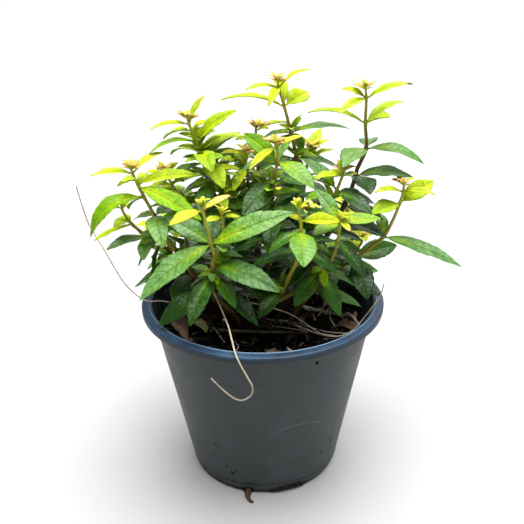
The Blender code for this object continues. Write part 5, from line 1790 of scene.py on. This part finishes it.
class VERBENA_OT_litter(bpy.types.Operator):
    """Builds the twigs, curls and dead leaves on the soil"""

    bl_idname = "verbena.litter"
    bl_label = "Twigs and Dead Leaves"

    def execute(self, context):
        make_groups()
        settings = context.scene.verbena_dry
        wood = straw_finish("dead_twig", settings.twig_color, settings.dark_leaf, settings.grey_color)
        pale = straw_finish("pale_twig", settings.bleach_color, settings.straw_color, settings.straw_shade)
        brown = dead_leaf_finish("dead_leaf_brown", settings.brown_leaf, settings.dark_leaf)
        yellow = dead_leaf_finish("dead_leaf_yellow", settings.yellow_leaf, settings.brown_leaf)
        draw = random.Random(SEED + 7)
        for name, (route, radius) in TWIGS.items():
            course = smooth_path([(x, y, soil_height(x, y) + radius) for x, y in route], 1.1)
            stout = radius * (1.3 if name in PALE_TWIGS else 1.1)
            radii = [stout * (1.0 - 0.35 * share) * (1.0 + 0.16 * noise.noise(point * 0.5))
                     for point, share in zip(course, shares_of(course))]
            gather = Gather()
            gather.rod(course, radii, TWIG_SIDES, 0.08, 3, tint=draw.random(),
                       along=shares_of(course, TWIG_SIDES))
            gather.lower_onto(name)
            finish = pale if name in PALE_TWIGS else wood
            gather.piece(name.replace("twig", "bark_twig"), [finish], [name])
        for name, ((x, y), azimuth, length, width) in DEAD_LEAVES.items():
            leaf = dict(base=Vector((x, y, SOIL_TOP + 10)), azimuth=azimuth, rise=0, length=length,
                        width=width, arch=48, roll=8, grip=0.15 * length, age=DEAD_AGE)
            gather = Gather()
            fine_leaf(gather, leaf, draw, fold=30, curl=-0.6)
            gather.crumple(1.2)
            gather.lower_onto(name)
            finish = yellow if "yellow" in name else brown
            gather.piece(name.replace("dead_leaf", "curled_leaf"), [finish], [name])
        curls = Gather()
        for route, radius in CURLS:
            course = smooth_path([over_bed(*point) for point in route], 0.9)
            radii = [radius * (1.35 + 0.4 * noise.noise(point * 0.7)) for point in course]
            curls.rod(course, radii, 7, 0.12, 2, tint=draw.random())
        curls.piece("dry_curls", [pale])
        bits = Gather()
        places = list(LEAF_BITS) + [on_soil(draw, 10.0) for _ in range(MORE_BITS)]
        for x, y in places:
            length = draw.uniform(8, 17)
            leaf = dict(base=over_bed(x, y, 1.2), azimuth=draw.uniform(0, 360), rise=4, length=length,
                        width=length * draw.uniform(0.25, 0.4), arch=draw.uniform(-20, 60),
                        roll=draw.uniform(-50, 50), grip=1.0, age=DEAD_AGE)
            fine_leaf(bits, leaf, draw, fold=45, curl=-0.5)
        bits.crumple(0.5)
        bits.piece("leaf_bits", [brown])
        return {"FINISHED"}


class VERBENA_OT_root(bpy.types.Operator):
    """Builds the root that curls out of a drain notch"""

    bl_idname = "verbena.root"
    bl_label = "Root"

    def execute(self, context):
        make_groups()
        settings = context.scene.verbena_dry
        bark = straw_finish("root_bark", settings.dark_leaf, settings.root_color, settings.root_color)
        course = smooth_path(ROOT_PATH, 0.7)
        low, high = ROOT_RADII
        radii = []
        for point, share in zip(course, shares_of(course)):
            radius = low + (high - low) * max(0.0, share - 0.35) / 0.65
            radii.append(radius * (1.45 + 0.4 * noise.noise(point * 0.6)))
        gather = Gather()
        gather.rod(course, radii, ROOT_SIDES, 0.1, 3, along=shares_of(course, ROOT_SIDES), tint=0.4)
        gather.piece("curled_root", [bark], ["root"])
        return {"FINISHED"}


class VERBENA_OT_stage(bpy.types.Operator):
    """Builds the floor, the soft lights and the camera"""

    bl_idname = "verbena.stage"
    bl_label = "Stage"

    def execute(self, context):
        settings = context.scene.verbena_stage
        scene = context.scene
        scene.view_settings.view_transform = "Standard"
        scene.world = bpy.data.worlds.new("studio_sky")
        scene.world.use_nodes = True
        tree = scene.world.node_tree
        sky = tree.nodes["Background"]
        feed(sky.inputs["Color"], SKY_COLOR)
        upward = Value(add_node(tree, "ShaderNodeTexCoord").outputs["Generated"]).split()[2]
        feed(sky.inputs["Strength"], upward.ranged(0.1, 0.25, settings.horizon, settings.sky_strength))
        mesh = bpy.data.meshes.new("floor")
        corners = [(x * FLOOR_REACH, y * FLOOR_REACH, 0) for x, y in ((-1, -1), (1, -1), (1, 1), (-1, 1))]
        mesh.from_pydata(corners, [], [(0, 1, 2, 3)])
        floor = new_object("floor", mesh)
        floor.location.z = -0.2 * MM
        paint = Finish("floor_paint", roughness=0.7)
        tone = paint.place.noise(3.0).ranged(0.3, 0.7, 0.97, 1.0)
        feed(paint.shader.inputs["Base Color"], tone.shade(settings.floor_color))
        mesh.materials.append(paint.material)
        aim = Vector((0, 0, settings.aim_height))
        lamps = (("light_top", "SUN", settings.top_strength, "angle", settings.top_spread, (0.1, 0.0, 1.7)),
                 ("light_front", "AREA", settings.front_power, "size", 0.8, (0.8, -1.4, 0.9)),
                 ("light_back", "AREA", settings.back_power, "size", 2.2, (0.3, 1.9, 1.3)))
        for name, kind, strength, measure, width, place in lamps:
            lamp = bpy.data.lights.new(name, kind)
            lamp.energy = strength
            setattr(lamp, measure, width)
            light = new_object(name, lamp)
            light.location = place
            light.rotation_euler = (aim - light.location).to_track_quat("-Z", "Y").to_euler()
        ahead = Vector((0, math.cos(settings.tilt), -math.sin(settings.tilt)))
        right = Matrix.Rotation(-settings.roll, 3, ahead) @ Vector((1, 0, 0))
        turn = Matrix((right, right.cross(ahead), -ahead)).transposed()
        camera = new_object("camera", bpy.data.cameras.new("camera"))
        camera.data.lens = settings.lens
        camera.matrix_world = Matrix.Translation(aim - ahead * settings.distance) @ turn.to_4x4()
        scene.camera = camera
        return {"FINISHED"}


SETTINGS = (("verbena_pot", PotSettings), ("verbena_soil", SoilSettings), ("verbena_plant", PlantSettings),
            ("verbena_dry", DrySettings), ("verbena_stage", StageSettings))
OPERATORS = (VERBENA_OT_pot, VERBENA_OT_soil, VERBENA_OT_shoots, VERBENA_OT_stalks, VERBENA_OT_litter,
             VERBENA_OT_root, VERBENA_OT_stage)


class VERBENA_PT_sidebar(bpy.types.Panel):
    """Lists the plant's pieces and their settings"""

    bl_idname = "VERBENA_PT_sidebar"
    bl_label = "Lemon Verbena"
    bl_space_type = "VIEW_3D"
    bl_region_type = "UI"
    bl_category = "Verbena"

    def draw(self, context):
        for operator in OPERATORS:
            self.layout.operator(operator.bl_idname)
        for name, group in SETTINGS:
            box = self.layout.box()
            box.label(text=group.__doc__)
            for key in group.__annotations__:
                box.prop(getattr(context.scene, name), key)


def register():
    """Adds the settings, operators and panel to Blender."""
    for name, group in SETTINGS:
        bpy.utils.register_class(group)
        setattr(bpy.types.Scene, name, PointerProperty(type=group))
    for operator in OPERATORS:
        bpy.utils.register_class(operator)
    bpy.utils.register_class(VERBENA_PT_sidebar)


def unregister():
    """Takes them out again."""
    bpy.utils.unregister_class(VERBENA_PT_sidebar)
    for operator in reversed(OPERATORS):
        bpy.utils.unregister_class(operator)
    for name, group in reversed(SETTINGS):
        delattr(bpy.types.Scene, name)
        bpy.utils.unregister_class(group)


def clear_others():
    """Removes what the scene held before the frame was loaded."""
    kept = set(frame["nodes"].values()) | set(frame["bodies"].values())
    for obj in list(bpy.data.objects):
        if obj not in kept:
            bpy.data.objects.remove(obj)


def main():
    """Builds every piece and the stage."""
    register()
    clear_others()
    bpy.ops.verbena.pot()
    bpy.ops.verbena.soil()
    bpy.ops.verbena.shoots()
    bpy.ops.verbena.stalks()
    bpy.ops.verbena.litter()
    bpy.ops.verbena.root()
    bpy.ops.verbena.stage()


if __name__ == "__main__":
    main()
